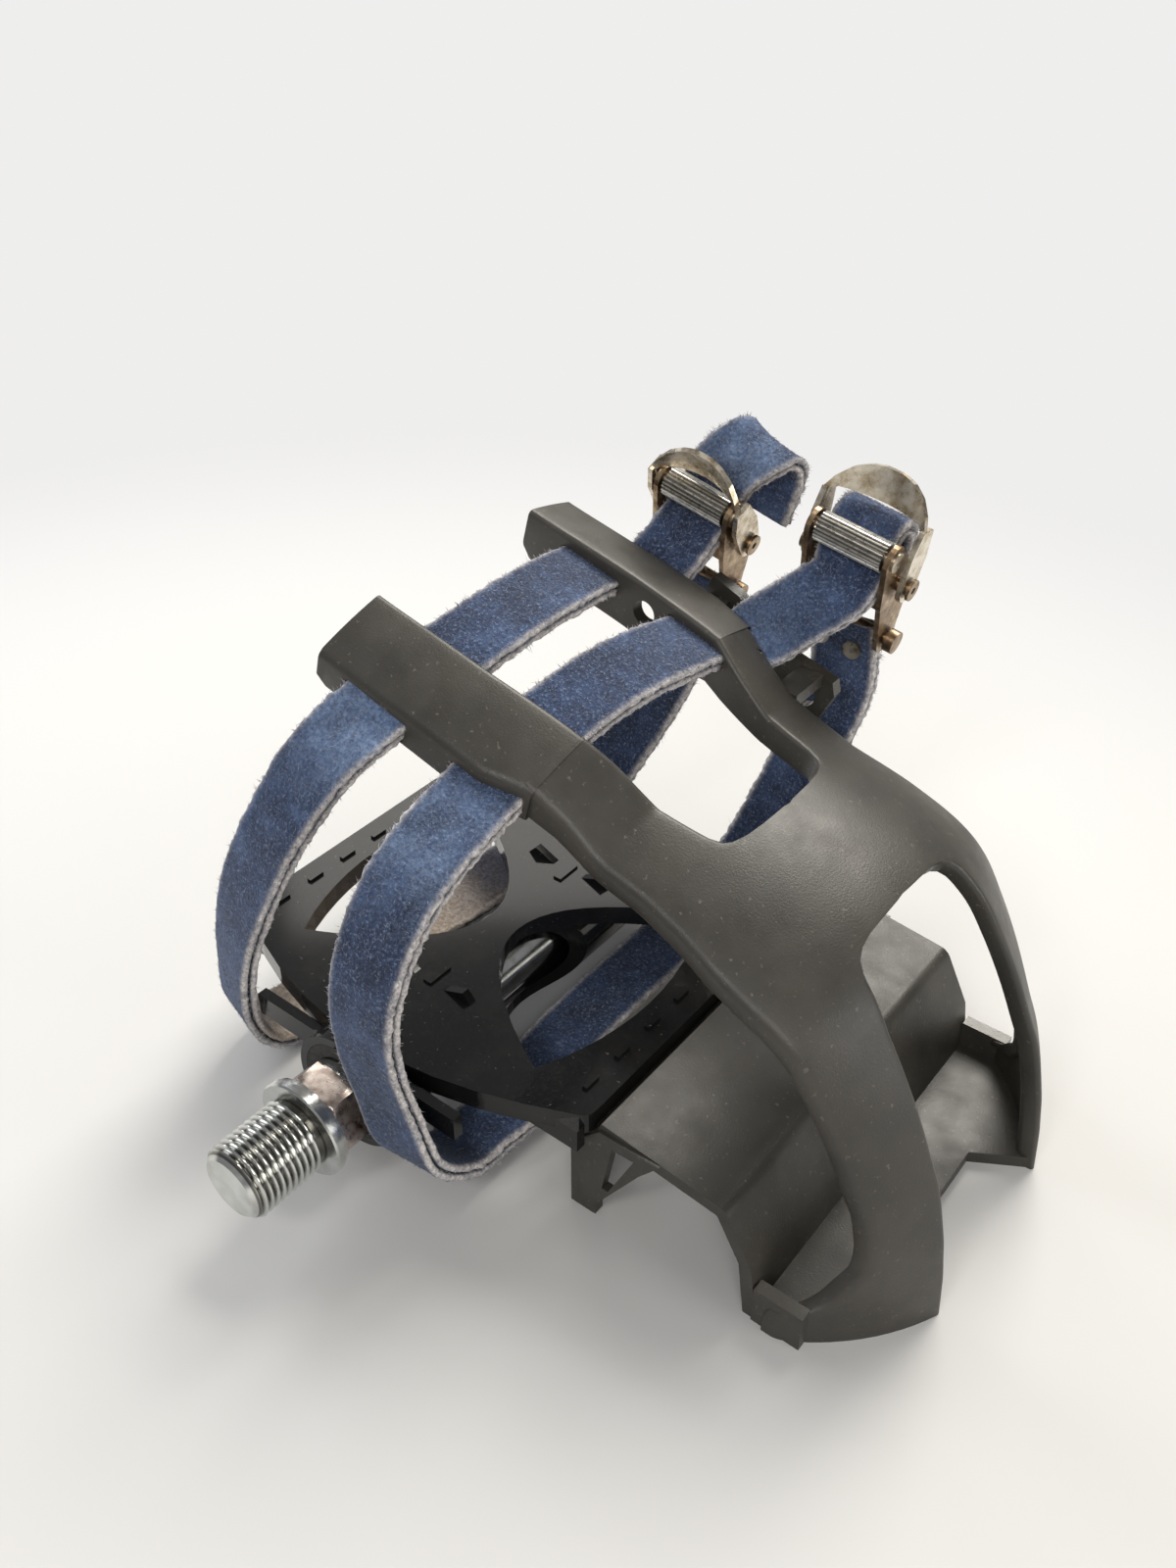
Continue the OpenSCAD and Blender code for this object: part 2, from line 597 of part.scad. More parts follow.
module strap_holes() {
  cross_pin(anchor, anchor_r + 0.1, strap_w);
  rivet_places() translate([0, 0, -strap_w / 2]) cylinder(r = rivet_r + 0.05, h = strap_w);
}

// Room cut for the straps through the flanges of both fingers
module front_passage() {
  strap_run(front_route, 19, 22.5, 0.3);
  strap_run(front_route, 25.5, 29, 0.3);
}

module rear_passage() {
  strap_run(rear_route, 19, 22.5, 0.3);
  strap_run(rear_route, 25.5, 29, 0.3);
}

// Buckle frame of reference: origin on the roller's axis, x along the roller,
// y outboard across the buckle, z up the buckle
front_place = [36.7, 107, 80];
front_tilt = 9.8;
rear_place = [4.4, 107, 79.2];
rear_tilt = 12.6;
lever_pivot = [5, -6.6];
anchor = [7.4, -19.5];
anchor_r = 1.3;
roller_pin_r = 1.2;
lever_pin_r = 1.3;
flange_u = cheek_u + 0.9;
end_loop_r = 2.9;
rivet_r = 1;

module on_front() {
  translate(front_place) rotate([0, front_tilt, 0]) children();
}

module on_rear() {
  translate(rear_place) rotate([0, rear_tilt, 0]) children();
}

// Plate in the buckle's side view, t thick, with its outer face at u
module side_plate(u, t) {
  translate([u - t, 0, 0]) rotate([90, 0, 90]) linear_extrude(t) children();
}

// Cylinder along the roller's direction
module cross_pin(p, r, half) {
  translate([-half, p[0], p[1]]) rotate([0, 90, 0]) cylinder(r = r, h = 2 * half);
}

// Bent steel frame: two cheeks that carry roller, lever and anchor, and a back web
module buckle_frame() {
  outline = concat(
    arc([0, 0], 2.9, 20, 190, 8), arc([3.6, -9], 3.6, 200, 215, 2),
    arc([anchor[0], anchor[1]], 3, 210, 350, 8), arc([lever_pivot[0], lever_pivot[1]], 4.6, -10, 30, 3)
  );
  web_y = 9.2;
  web_z = -16.4;
  web_h = 9;
  color(steel_buckle) difference() {
    union() {
      side_plate(cheek_u, sheet_t) polygon(outline);
      side_plate(sheet_t - cheek_u, sheet_t) polygon(outline);
      translate([-cheek_u, web_y, web_z]) cube([2 * cheek_u, sheet_t, web_h]);
      for (u = [-cheek_u, cheek_u - sheet_t])
        translate([u, web_y - 3.2, web_z]) cube([sheet_t, 3.4, web_h]);
    }
    cross_pin([0, 0], roller_pin_r, 12);
    cross_pin(lever_pivot, lever_pin_r, 12);
    cross_pin(anchor, anchor_r, 12);
  }
}

// Roller with lengthwise grooves
module roller() {
  groove = 0.35;
  bore_r = roller_pin_r + 0.06;
  color([0.6, 0.59, 0.56]) translate([-roller_len / 2, 0, 0]) rotate([90, 0, 90])
    difference() {
      linear_extrude(roller_len) polygon([for (i = [0:roller_grooves * 4 - 1])
        let (a = 90 * i / roller_grooves, r = roller_r - (i % 4 < 2 ? 0 : groove))
        r * [cos(a), sin(a)]]);
      translate([0, 0, -1]) cylinder(r = bore_r, h = roller_len + 2);
    }
}

module roller_pin() {
  head_r = 1.9;
  color("silver") {
    cross_pin([0, 0], roller_pin_r, cheek_u + 0.2);
    for (u = [-1, 1]) translate([u * (cheek_u + 0.2), 0, 0]) rotate([0, 90, 0])
      cylinder(r = head_r, h = 0.4, center = true);
  }
}

// Thumb lever: an arched tab over the strap, with a flange down to the pin at each side
module lever() {
  flange_out = flange_u + sheet_t;
  side = concat(
    arc([lever_pivot[0], lever_pivot[1]], 2.8, 180, 350, 8),
    [[7.8, -1], [6.2, 4.6], [2.4, 4.6], [1.4, 0]]
  );
  tab_edge = [[flange_out, 1.4], [flange_out, 4.2], [9, 6.8], [7, 9], [4.4, 10.4], [1.8, 11]];
  throat = [[9.1, 0], [9.1, 4.2], [8, 5]];
  arch_r = 16.4;
  arch_y = 7.3;
  color([0.75, 0.68, 0.55]) difference() {
    union() {
      side_plate(flange_out, sheet_t) polygon(side);
      side_plate(-flange_u, sheet_t) polygon(side);
      intersection() {
        translate([0, arch_y - arch_r, 0]) difference() {
          cylinder(r = arch_r, h = 14);
          translate([0, 0, -1]) cylinder(r = arch_r - sheet_t, h = 16);
        }
        rotate([90, 0, 0]) translate([0, 0, -10]) linear_extrude(10) difference() {
          polygon(symmetric(tab_edge));
          polygon(symmetric(throat));
        }
      }
    }
    cross_pin(lever_pivot, lever_pin_r + 0.06, 14);
  }
}

// Closed outline from its right half, given from the bottom up
function symmetric(half) =
  concat(half, [for (i = [len(half) - 1:-1:0]) [-half[i][0], half[i][1]]]);

module lever_pin() {
  head_u = flange_u + sheet_t + 0.7;
  head_r = 2;
  color("silver") difference() {
    union() {
      cross_pin(lever_pivot, lever_pin_r, head_u);
      for (u = [-1, 1]) translate([u * head_u, lever_pivot[0], lever_pivot[1]])
        rotate([0, 90, 0]) cylinder(r = head_r, h = 0.6, center = true);
    }
    cross_pin(lever_pivot, lever_pin_r / 2, head_u + 1);
  }
}

// Bar that the strap's fixed end loops round, with a round head at each end
module anchor_pin() {
  head_u = cheek_u + 1.4;
  head_r = 2.2;
  color(steel_buckle) {
    cross_pin(anchor, anchor_r, head_u);
    for (u = [-1, 1]) translate([u * head_u, anchor[0], anchor[1]])
      rotate([0, 90, 0]) cylinder(r = head_r, h = 1.8, center = true);
  }
}

// Two rivets that close the strap's end loop
module rivet_places() {
  for (u = [-3.4, 3.4]) translate([u, anchor[0] + 0.8, anchor[1] - 5]) rotate([90, 0, 0])
    children();
}

module rivets() {
  grip = strap_t / 2 + 0.2;
  color(steel_zinc) rivet_places() {
    translate([0, 0, -grip - 0.4]) cylinder(r = rivet_r, h = 2 * grip + 0.8);
    for (z = [-grip - 0.7, grip]) translate([0, 0, z]) cylinder(r = 1.8, h = 0.7);
  }
}

module front_buckle_frame() { on_front() buckle_frame(); }
module front_roller() { on_front() roller(); }
module front_roller_pin() { on_front() roller_pin(); }
module front_lever_pin() { on_front() lever_pin(); }
module front_anchor_pin() { on_front() anchor_pin(); }
module front_rivets() { on_front() rivets(); }
module rear_buckle_frame() { on_rear() buckle_frame(); }
module rear_roller() { on_rear() roller(); }
module rear_roller_pin() { on_rear() roller_pin(); }
module rear_lever_pin() { on_rear() lever_pin(); }
module rear_anchor_pin() { on_rear() anchor_pin(); }
module rear_rivets() { on_rear() rivets(); }

// Lever turned on its pin by an angle towards the foot
module leaning_lever(lean) {
  translate([0, lever_pivot[0], lever_pivot[1]]) rotate([lean, 0, 0])
    translate([0, -lever_pivot[0], -lever_pivot[1]]) lever();
}

module front_lever() { on_front() leaning_lever(front_lever_lean); }
module rear_lever() { on_rear() leaning_lever(rear_lever_lean); }

spindle();
inboard_seal();
inboard_cup();
inboard_balls();
outboard_cup();
outboard_balls();
outboard_cone();
lock_washer();
lock_nut();
end_cap();
platform();
toe_cage();
cage_screws();
cage_washers();
front_strap();
rear_strap();
front_buckle_frame();
front_roller();
front_roller_pin();
front_lever();
front_lever_pin();
front_anchor_pin();
front_rivets();
rear_buckle_frame();
rear_roller();
rear_roller_pin();
rear_lever();
rear_lever_pin();
rear_anchor_pin();
rear_rivets();
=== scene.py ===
import math
import random

import bmesh
import bpy
import numpy as np
from mathutils import Matrix, Vector, noise


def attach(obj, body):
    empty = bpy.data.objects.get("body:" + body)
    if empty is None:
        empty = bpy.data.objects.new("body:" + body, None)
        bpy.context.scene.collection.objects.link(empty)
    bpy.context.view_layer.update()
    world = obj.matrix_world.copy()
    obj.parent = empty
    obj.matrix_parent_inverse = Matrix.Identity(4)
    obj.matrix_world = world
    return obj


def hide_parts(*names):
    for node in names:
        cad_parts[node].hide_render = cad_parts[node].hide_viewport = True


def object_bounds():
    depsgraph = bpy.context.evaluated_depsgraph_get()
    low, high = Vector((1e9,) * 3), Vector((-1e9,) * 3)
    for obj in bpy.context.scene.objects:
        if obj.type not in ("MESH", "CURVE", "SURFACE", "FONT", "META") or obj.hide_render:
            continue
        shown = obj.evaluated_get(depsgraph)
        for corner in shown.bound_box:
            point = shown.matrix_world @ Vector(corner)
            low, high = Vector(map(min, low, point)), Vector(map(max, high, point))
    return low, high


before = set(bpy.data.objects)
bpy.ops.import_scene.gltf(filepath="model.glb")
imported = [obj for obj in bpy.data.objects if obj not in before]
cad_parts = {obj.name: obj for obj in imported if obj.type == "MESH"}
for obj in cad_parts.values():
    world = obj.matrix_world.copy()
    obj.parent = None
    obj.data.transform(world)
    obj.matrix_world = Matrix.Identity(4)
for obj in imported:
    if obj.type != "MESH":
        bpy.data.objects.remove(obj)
cad_low, cad_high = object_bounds()
MM = 0.001

# The photograph's camera: a phone held above the crank end of the pedal, looking down over the
# toe cage. Place and angles come from the crank thread and the cage's symmetry.
LENS_PIXELS = 1434.5
IMAGE_TALL = 1600
CAMERA_PLACE = Vector((136.9, -95.0, 188.3)) * MM
CAMERA_TURN = math.radians(38.11)
CAMERA_PITCH = math.radians(35.92)
right = Vector((math.cos(CAMERA_TURN), math.sin(CAMERA_TURN), 0))
ahead = Vector((-math.sin(CAMERA_TURN) * math.cos(CAMERA_PITCH),
                math.cos(CAMERA_TURN) * math.cos(CAMERA_PITCH), -math.sin(CAMERA_PITCH)))
upward = right.cross(ahead)
camera_data = bpy.data.cameras.new("photo_camera")
camera = bpy.data.objects.new("photo_camera", camera_data)
bpy.context.scene.collection.objects.link(camera)
camera_axes = Matrix((right, upward, -ahead)).transposed().to_4x4()
camera.matrix_world = Matrix.Translation(CAMERA_PLACE) @ camera_axes
camera_data.lens = camera_data.sensor_width * LENS_PIXELS / IMAGE_TALL
camera_data.clip_start = 0.01
camera_data.clip_end = 20
bpy.context.scene.camera = camera
bpy.context.scene.view_settings.view_transform = "Standard"

# Studio light: one large soft panel overhead, lower ones on the crank and toe sides and two weak
# ones behind, so that the black mouldings show their edges. All places are in metres.
PEDAL_MIDDLE = Vector((30, 60, 30)) * MM
WORLD_STRENGTH = 0.28
# Colour of the background and of the far floor, as the camera sees them
BACKDROP = (0.86, 0.855, 0.85)


def soft_panel(name, place, size, power, colour):
    """Square lamp that faces the pedal; size in metres and power in watts."""
    data = bpy.data.lights.new(name, "AREA")
    data.shape = "SQUARE"
    data.size = size
    data.energy = power
    data.color = colour
    lamp = bpy.data.objects.new(name, data)
    lamp.location = place
    lamp.rotation_euler = (PEDAL_MIDDLE - lamp.location).to_track_quat("-Z", "Y").to_euler()
    bpy.context.scene.collection.objects.link(lamp)


soft_panel("overhead_panel", Vector((-0.05, 0.6, 0.74)), 0.5, 10.0, (1, 0.96, 0.88))
soft_panel("crank_side_panel", Vector((0.5, -0.6, 0.5)), 0.45, 3.0, (1, 0.97, 0.93))
soft_panel("crank_end_panel", Vector((0.1, -0.5, 0.58)), 0.16, 1.3, (1, 0.98, 0.95))
soft_panel("toe_side_panel", Vector((0.78, 0.14, 0.26)), 0.3, 1.8, (1, 0.99, 0.96))
soft_panel("outboard_card", Vector((-0.53, 0.62, 0.46)), 0.35, 0.8, (1, 0.96, 0.9))
soft_panel("rear_panel", Vector((-0.6, 0.05, 0.3)), 0.35, 2.4, (0.93, 0.96, 1))
# The pedal is lit by a dim grey world, and the camera sees an even white one
world = bpy.data.worlds.new("studio")
world.use_nodes = True
bpy.context.scene.world = world
world_nodes, world_links = world.node_tree.nodes, world.node_tree.links
world_nodes["Background"].inputs["Color"].default_value = (0.86, 0.86, 0.87, 1)
world_nodes["Background"].inputs["Strength"].default_value = WORLD_STRENGTH
seen_sky = world_nodes.new("ShaderNodeBackground")
seen_sky.inputs["Color"].default_value = (*BACKDROP, 1)
sky_mix = world_nodes.new("ShaderNodeMixShader")
seen_directly = world_nodes.new("ShaderNodeLightPath").outputs["Is Camera Ray"]
world_links.new(seen_directly, sky_mix.inputs["Fac"])
world_links.new(world_nodes["Background"].outputs["Background"], sky_mix.inputs[1])
world_links.new(seen_sky.outputs["Background"], sky_mix.inputs[2])
world_links.new(sky_mix.outputs["Shader"], world_nodes["World Output"].inputs["Surface"])

# Plain pale table top that the pedal stands on. Far from the pedal it fades into an even white,
# which the camera alone sees.
FLOOR_SIZE = 6.0
FADE_START = 0.15
FADE_END = 0.36
table_height = cad_low.z
floor_mesh = bpy.data.meshes.new("floor")
floor_mesh.from_pydata([(x * FLOOR_SIZE, y * FLOOR_SIZE, table_height)
                        for x, y in ((-1, -1), (1, -1), (1, 1), (-1, 1))], [], [(0, 1, 2, 3)])
floor = bpy.data.objects.new("floor", floor_mesh)
bpy.context.scene.collection.objects.link(floor)
floor_finish = bpy.data.materials.new("pale_table")
floor_finish.use_nodes = True
floor_shader = floor_finish.node_tree.nodes["Principled BSDF"]
floor_shader.inputs["Base Color"].default_value = (0.55, 0.547, 0.54, 1)
floor_shader.inputs["Roughness"].default_value = 0.75
floor_nodes, floor_links = floor_finish.node_tree.nodes, floor_finish.node_tree.links
distance = floor_nodes.new("ShaderNodeVectorMath")
distance.operation = "LENGTH"
floor_links.new(floor_nodes.new("ShaderNodeTexCoord").outputs["Object"], distance.inputs[0])
fade = floor_nodes.new("ShaderNodeMapRange")
fade.interpolation_type = "SMOOTHSTEP"
fade.inputs["From Min"].default_value = FADE_START
fade.inputs["From Max"].default_value = FADE_END
floor_links.new(distance.outputs["Value"], fade.inputs["Value"])
seen_fade = floor_nodes.new("ShaderNodeMath")
seen_fade.operation = "MULTIPLY"
floor_links.new(fade.outputs["Result"], seen_fade.inputs[0])
floor_links.new(floor_nodes.new("ShaderNodeLightPath").outputs["Is Camera Ray"], seen_fade.inputs[1])
even_white = floor_nodes.new("ShaderNodeEmission")
even_white.inputs["Color"].default_value = (*BACKDROP, 1)
floor_mix = floor_nodes.new("ShaderNodeMixShader")
floor_links.new(seen_fade.outputs["Value"], floor_mix.inputs["Fac"])
floor_links.new(floor_shader.outputs["BSDF"], floor_mix.inputs[1])
floor_links.new(even_white.outputs["Emission"], floor_mix.inputs[2])
floor_links.new(floor_mix.outputs["Shader"], floor_nodes["Material Output"].inputs["Surface"])
floor_mesh.materials.append(floor_finish)


# Toe cage: one glass-filled nylon moulding with a spark-eroded grain on its outside. A hood over
# the toe runs back into two fingers with strap slots and down into two legs, and a floor plate
# ties the legs to the platform.
class Finish:
    """A material under construction: its node tree and its shader."""

    def __init__(self, name, colour, roughness, metallic=0.0):
        self.material = bpy.data.materials.new(name)
        self.material.use_nodes = True
        self.tree = self.material.node_tree
        self.shader = self.tree.nodes["Principled BSDF"]
        self.shader.inputs["Base Color"].default_value = (*colour, 1)
        self.shader.inputs["Roughness"].default_value = roughness
        self.shader.inputs["Metallic"].default_value = metallic
        self.place = self.tree.nodes.new("ShaderNodeTexCoord").outputs["Object"]
        self.height = None

    def noise(self, size, detail=3.0, roughness=0.55, stretch=None):
        """Noise whose blotches are about size millimetres across."""
        node = self.tree.nodes.new("ShaderNodeTexNoise")
        node.inputs["Scale"].default_value = 1 / (size * MM)
        node.inputs["Detail"].default_value = detail
        node.inputs["Roughness"].default_value = roughness
        place = self.place
        if stretch:
            mapping = self.tree.nodes.new("ShaderNodeMapping")
            mapping.inputs["Scale"].default_value = stretch
            self.tree.links.new(place, mapping.inputs["Vector"])
            place = mapping.outputs["Vector"]
        self.tree.links.new(place, node.inputs["Vector"])
        return node.outputs["Fac"]

    def ramp(self, value, *stops):
        """Colour ramp through (position, colour or grey) stops."""
        node = self.tree.nodes.new("ShaderNodeValToRGB")
        self.tree.links.new(value, node.inputs["Fac"])
        points = node.color_ramp.elements
        while len(points) < len(stops):
            points.new(0.5)
        for point, (position, colour) in zip(points, stops):
            point.position = position
            point.color = (*colour, 1) if isinstance(colour, tuple) else (colour, colour, colour, 1)
        return node.outputs["Color"]

    def blend(self, factor, first, second):
        """Mix of two colours; either may be a socket or a plain colour."""
        node = self.tree.nodes.new("ShaderNodeMix")
        node.data_type = "RGBA"
        for value, socket in ((factor, node.inputs["Factor"]), (first, node.inputs["A"]),
                              (second, node.inputs["B"])):
            self.join(value, socket)
        return node.outputs["Result"]

    def join(self, value, socket):
        """Links a socket, or sets a plain colour or number."""
        if isinstance(value, bpy.types.NodeSocket):
            self.tree.links.new(value, socket)
        elif isinstance(value, tuple):
            socket.default_value = (*value, 1)
        else:
            socket.default_value = value

    def attribute(self, name):
        """A number that the mesh holds at each of its points."""
        node = self.tree.nodes.new("ShaderNodeAttribute")
        node.attribute_name = name
        return node.outputs["Fac"]

    def radius(self, centre, axis, low, high):
        """0 at radius low round an axis line and 1 at radius high, in millimetres."""
        place = self.place
        for operation, value in (("SUBTRACT", centre), ("CROSS_PRODUCT", axis), ("LENGTH", None)):
            node = self.tree.nodes.new("ShaderNodeVectorMath")
            node.operation = operation
            self.tree.links.new(place, node.inputs[0])
            if value:
                node.inputs[1].default_value = value
            place = node.outputs["Value" if operation == "LENGTH" else "Vector"]
        span = self.tree.nodes.new("ShaderNodeMapRange")
        span.inputs["From Min"].default_value = low * MM
        span.inputs["From Max"].default_value = high * MM
        self.tree.links.new(place, span.inputs["Value"])
        return span.outputs["Result"]

    def colour(self, value):
        self.join(value, self.shader.inputs["Base Color"])

    def roughness(self, value):
        self.join(value, self.shader.inputs["Roughness"])

    def bump(self, value, depth, strength=1.0):
        """Adds a relief depth millimetres deep on top of the reliefs so far."""
        node = self.tree.nodes.new("ShaderNodeBump")
        node.inputs["Distance"].default_value = depth * MM
        node.inputs["Strength"].default_value = strength
        self.tree.links.new(value, node.inputs["Height"])
        if self.height:
            self.tree.links.new(self.height, node.inputs["Normal"])
        self.height = node.outputs["Normal"]
        self.tree.links.new(self.height, self.shader.inputs["Normal"])


def moulded_nylon(name, polish):
    """Grained black nylon; polish takes off some of its roughness and grain."""
    finish = Finish(name, (0.03, 0.029, 0.027), 0.5)
    blotch = finish.noise(14, 4)
    speck = finish.noise(0.9, 2)
    scuff = finish.noise(2.4, 5, 0.7, stretch=(1, 3.5, 1))
    tint = finish.ramp(blotch, (0.3, (0.026, 0.024, 0.020)), (0.7, (0.044, 0.040, 0.033)))
    tint = finish.blend(finish.ramp(speck, (0.66, 0.0), (0.74, 1.0)), tint, (0.09, 0.083, 0.07))
    worn = finish.ramp(scuff, (0.66, 0.0), (0.78, 0.6))
    finish.colour(finish.blend(worn, tint, (0.11, 0.103, 0.09)))
    finish.roughness(finish.ramp(finish.noise(5, 5), (0.3, 0.38 - polish), (0.75, 0.52 - polish)))
    finish.bump(finish.noise(0.34, 2), 0.05 - 0.1 * polish, 0.8)
    finish.bump(finish.noise(18, 2), 0.5, 0.12)
    return finish.material


# y of the cage's middle plane, its walls, the radius of its edges and of the edges that the two
# halves of the hood bury in each other, and the growth of the outboard finger's arch radius
# where its strap holds it up
CAGE_MIDDLE = 65.0
CAGE_WALL = 2.4
FLANGE_WALL = 2.6
EDGE_ROUND = 1.2
SEAM_ROUND = 0.3
FINGER_SPRING = 36.0
# Crown line from the finger's end to the table: x, z and the arch's radius across it
CROWN = np.array([
    (-16.4, 80.7, 64), (-13, 79.8, 64), (4, 75.6, 64), (18, 71.7, 64), (25, 69.4, 64),
    (27.6, 68, 64), (37.2, 60.2, 64), (39.8, 58.8, 64), (49.2, 56.2, 64), (61, 52.8, 64),
    (72.9, 48.2, 62), (80.4, 42.6, 60), (86, 35, 57), (90.9, 26.8, 54), (95, 18.6, 51),
    (97.6, 12.8, 50), (100.2, 3.1, 48), (101.3, -3, 47), (102, -7.5, 46), (102.8, -16, 45),
    (103, -18.5, 45)], float)
# Half widths and flange depths against x of the crown line, below the side opening against z
OUTER_EDGE = ((-17, 32.2), (18, 32.2), (26, 30.1), (34, 28.6), (46, 28.6), (53, 29.4), (61, 30.7),
              (68, 31.2), (78, 31), (84, 30.5), (90, 30), (97, 29.4), (99.5, 29.4))
FOOT_EDGE = ((-9.5, 39), (-7, 38.4), (-5.4, 36.4), (-2.6, 33.2), (2, 30.2), (6, 29.4))
INNER_EDGE = ((-17, 18.8), (6, 18.8), (26.5, 18), (32, 16.4), (38.5, 15.5), (46.7, 14.5), (49, 13.8),
              (50.2, 12.2), (51, 9.6), (51.6, 5), (51.8, -0.3), (73.2, -0.3), (73.4, 5), (73.6, 9.5),
              (74.2, 12.4), (75.2, 14.2), (77, 15.4), (83.8, 16.9), (92.2, 17.4), (99.1, 17.8),
              (103, 18))
INNER_FLANGE = ((-17, 4.6), (-16.2, 8), (-14.5, 10), (-11, 10.9), (22, 11), (30, 8.6), (38.5, 5.8),
                (48, 5.4), (51.4, 3.9), (51.8, 3), (73.2, 3), (73.6, 3.8))
OUTER_FLANGE = ((-17, 4.6), (-15, 6.6), (22, 7), (31, 5.4), (38, 3.9), (60, 3.8))
FOOT_TOP = 6
# The flanges hang down from the fingers, and point inward elsewhere: share of hanging against x
FLANGE_HANG = ((44, 1), (54, 0))
HANG_WAY = np.array([0.25, 0, 0.97])
SPRUNG_STRETCH = ((25, 1), (50, 0))
# Rounded lip of a flange: distances from its outer side, or its inner side, and from its end
LIP_OUTSIDE = ((0, 0.8), (0.23, 0.23), (0.8, 0))
LIP_INSIDE = ((0.6, 0), (0.1, 0.15), (0, 0.6))
CROWN_STEPS = 10
# Part of a station over which a line's direction is measured
NUDGE = 0.05


def on_table(x, pairs):
    """Value at x on straight lines through (x, value) pairs."""
    return float(np.interp(x, [p[0] for p in pairs], [p[1] for p in pairs]))


def curve_point(points, s):
    """Catmull-Rom point at place s of a list of points."""
    last = len(points) - 1
    i = min(int(s), last - 1)
    t = s - i
    a, b, c, d = points[max(i - 1, 0)], points[i], points[i + 1], points[min(i + 2, last)]
    return 0.5 * (2 * b + (c - a) * t + (2 * a - 5 * b + 4 * c - d) * t * t
                  + (3 * b - a - 3 * c + d) * t ** 3)


def unit(v):
    return v / np.linalg.norm(v)


def crown_normal(s):
    """Outward direction square to the crown line at place s."""
    after = curve_point(CROWN, min(s + NUDGE, len(CROWN) - 1))
    before = curve_point(CROWN, max(s - NUDGE, 0))
    along = unit(np.array([after[0] - before[0], 0, after[1] - before[1]]))
    return np.array([-along[2], 0, along[0]])


def shell_point(s, across, depth, spring):
    """Point of the shell across from the middle and depth below its outer face."""
    x, z, radius = curve_point(CROWN, s)
    radius += spring * on_table(x, SPRUNG_STRETCH)
    normal = crown_normal(s)
    hang = on_table(x, FLANGE_HANG)
    down = unit(hang * HANG_WAY + (1 - hang) * normal)
    sag = radius - math.sqrt(radius ** 2 - across ** 2)
    return (np.array([x, CAGE_MIDDLE + across, z]) - normal * (sag + min(depth, CAGE_WALL))
            - down * max(depth - CAGE_WALL, 0))


def shell_section(s):
    """Closed outline of one side of the shell: (across, depth) from the inner to the outer edge."""
    x, z, _ = curve_point(CROWN, s)
    outer = max(on_table(x, OUTER_EDGE), on_table(z, FOOT_EDGE) if z <= FOOT_TOP else 0)
    inner = on_table(x, INNER_EDGE)
    inner_round = SEAM_ROUND if inner < 1 else min(EDGE_ROUND, inner / 4)
    inner_deep, outer_deep = on_table(x, INNER_FLANGE), on_table(x, OUTER_FLANGE)
    crown_start = inner + inner_round
    top = [(crown_start + (outer - EDGE_ROUND - inner - inner_round) * i / CROWN_STEPS, 0)
           for i in range(CROWN_STEPS + 1)]
    quarter = [math.radians(a) for a in (18, 36, 54, 72, 90)]
    outer_corner = [(outer - EDGE_ROUND * (1 - math.sin(a)), EDGE_ROUND * (1 - math.cos(a)))
                    for a in quarter]
    outer_lip = [(outer - a, outer_deep - d) for a, d in LIP_OUTSIDE]
    outer_lip += [(outer - FLANGE_WALL + a, outer_deep - d) for a, d in LIP_INSIDE]
    under = [(outer - FLANGE_WALL + (inner + 2 * FLANGE_WALL - outer) * i / CROWN_STEPS, CAGE_WALL)
             for i in range(CROWN_STEPS + 1)]
    inner_lip = [(inner + FLANGE_WALL - a, inner_deep - d) for a, d in LIP_INSIDE[::-1]]
    inner_lip += [(inner + a, inner_deep - d) for a, d in LIP_OUTSIDE[::-1]]
    inner_corner = [(inner + inner_round * (1 - math.sin(a)), inner_round * (1 - math.cos(a)))
                    for a in quarter[::-1]]
    return top + outer_corner + outer_lip + under + inner_lip + inner_corner


def ring_tube(rings):
    """Closed mesh through rings of points in millimetres: vertices in metres, and faces."""
    count = len(rings[0])
    vertices = [tuple(p * MM for p in point) for ring in rings for point in ring]
    faces = [tuple(range(count))]
    for i in range(len(rings) - 1):
        for j in range(count):
            k = (j + 1) % count
            faces.append((i * count + j, (i + 1) * count + j, (i + 1) * count + k, i * count + k))
    faces.append(tuple(range(len(rings) * count - 1, (len(rings) - 1) * count - 1, -1)))
    return vertices, faces


def solid(name, vertices, faces):
    """A new mesh object with its faces turned outward."""
    mesh = bpy.data.meshes.new(name)
    mesh.from_pydata(vertices, [], faces)
    work = bmesh.new()
    work.from_mesh(mesh)
    bmesh.ops.recalc_face_normals(work, faces=work.faces)
    if work.calc_volume() < 0:
        bmesh.ops.reverse_faces(work, faces=work.faces)
    work.to_mesh(mesh)
    work.free()
    piece = bpy.data.objects.new(name, mesh)
    bpy.context.scene.collection.objects.link(piece)
    return piece


def bar(outline, axis, low, high):
    """Prism of a plane outline in millimetres between low and high along the y or z axis."""
    order = {"y": lambda p, h: (p[0], h, p[1]), "z": lambda p, h: (p[0], p[1], h)}[axis]
    return ring_tube([[order(p, h) for p in outline] for h in (low, high)])


def box_bar(low, high):
    """Block between two opposite corners in millimetres."""
    return bar([(low[0], low[1]), (high[0], low[1]), (high[0], high[1]), (low[0], high[1])],
               "z", low[2], high[2])


def combine(base, others, way):
    """Turns base into its union with, or difference from, the others, which are then removed."""
    for other in others:
        step = base.modifiers.new("join", "BOOLEAN")
        step.operation = way
        step.solver = "MANIFOLD"
        step.object = other
    graph = bpy.context.evaluated_depsgraph_get()
    made = bpy.data.meshes.new_from_object(base.evaluated_get(graph))
    base.modifiers.clear()
    base.data = made
    for other in others:
        bpy.data.objects.remove(other)


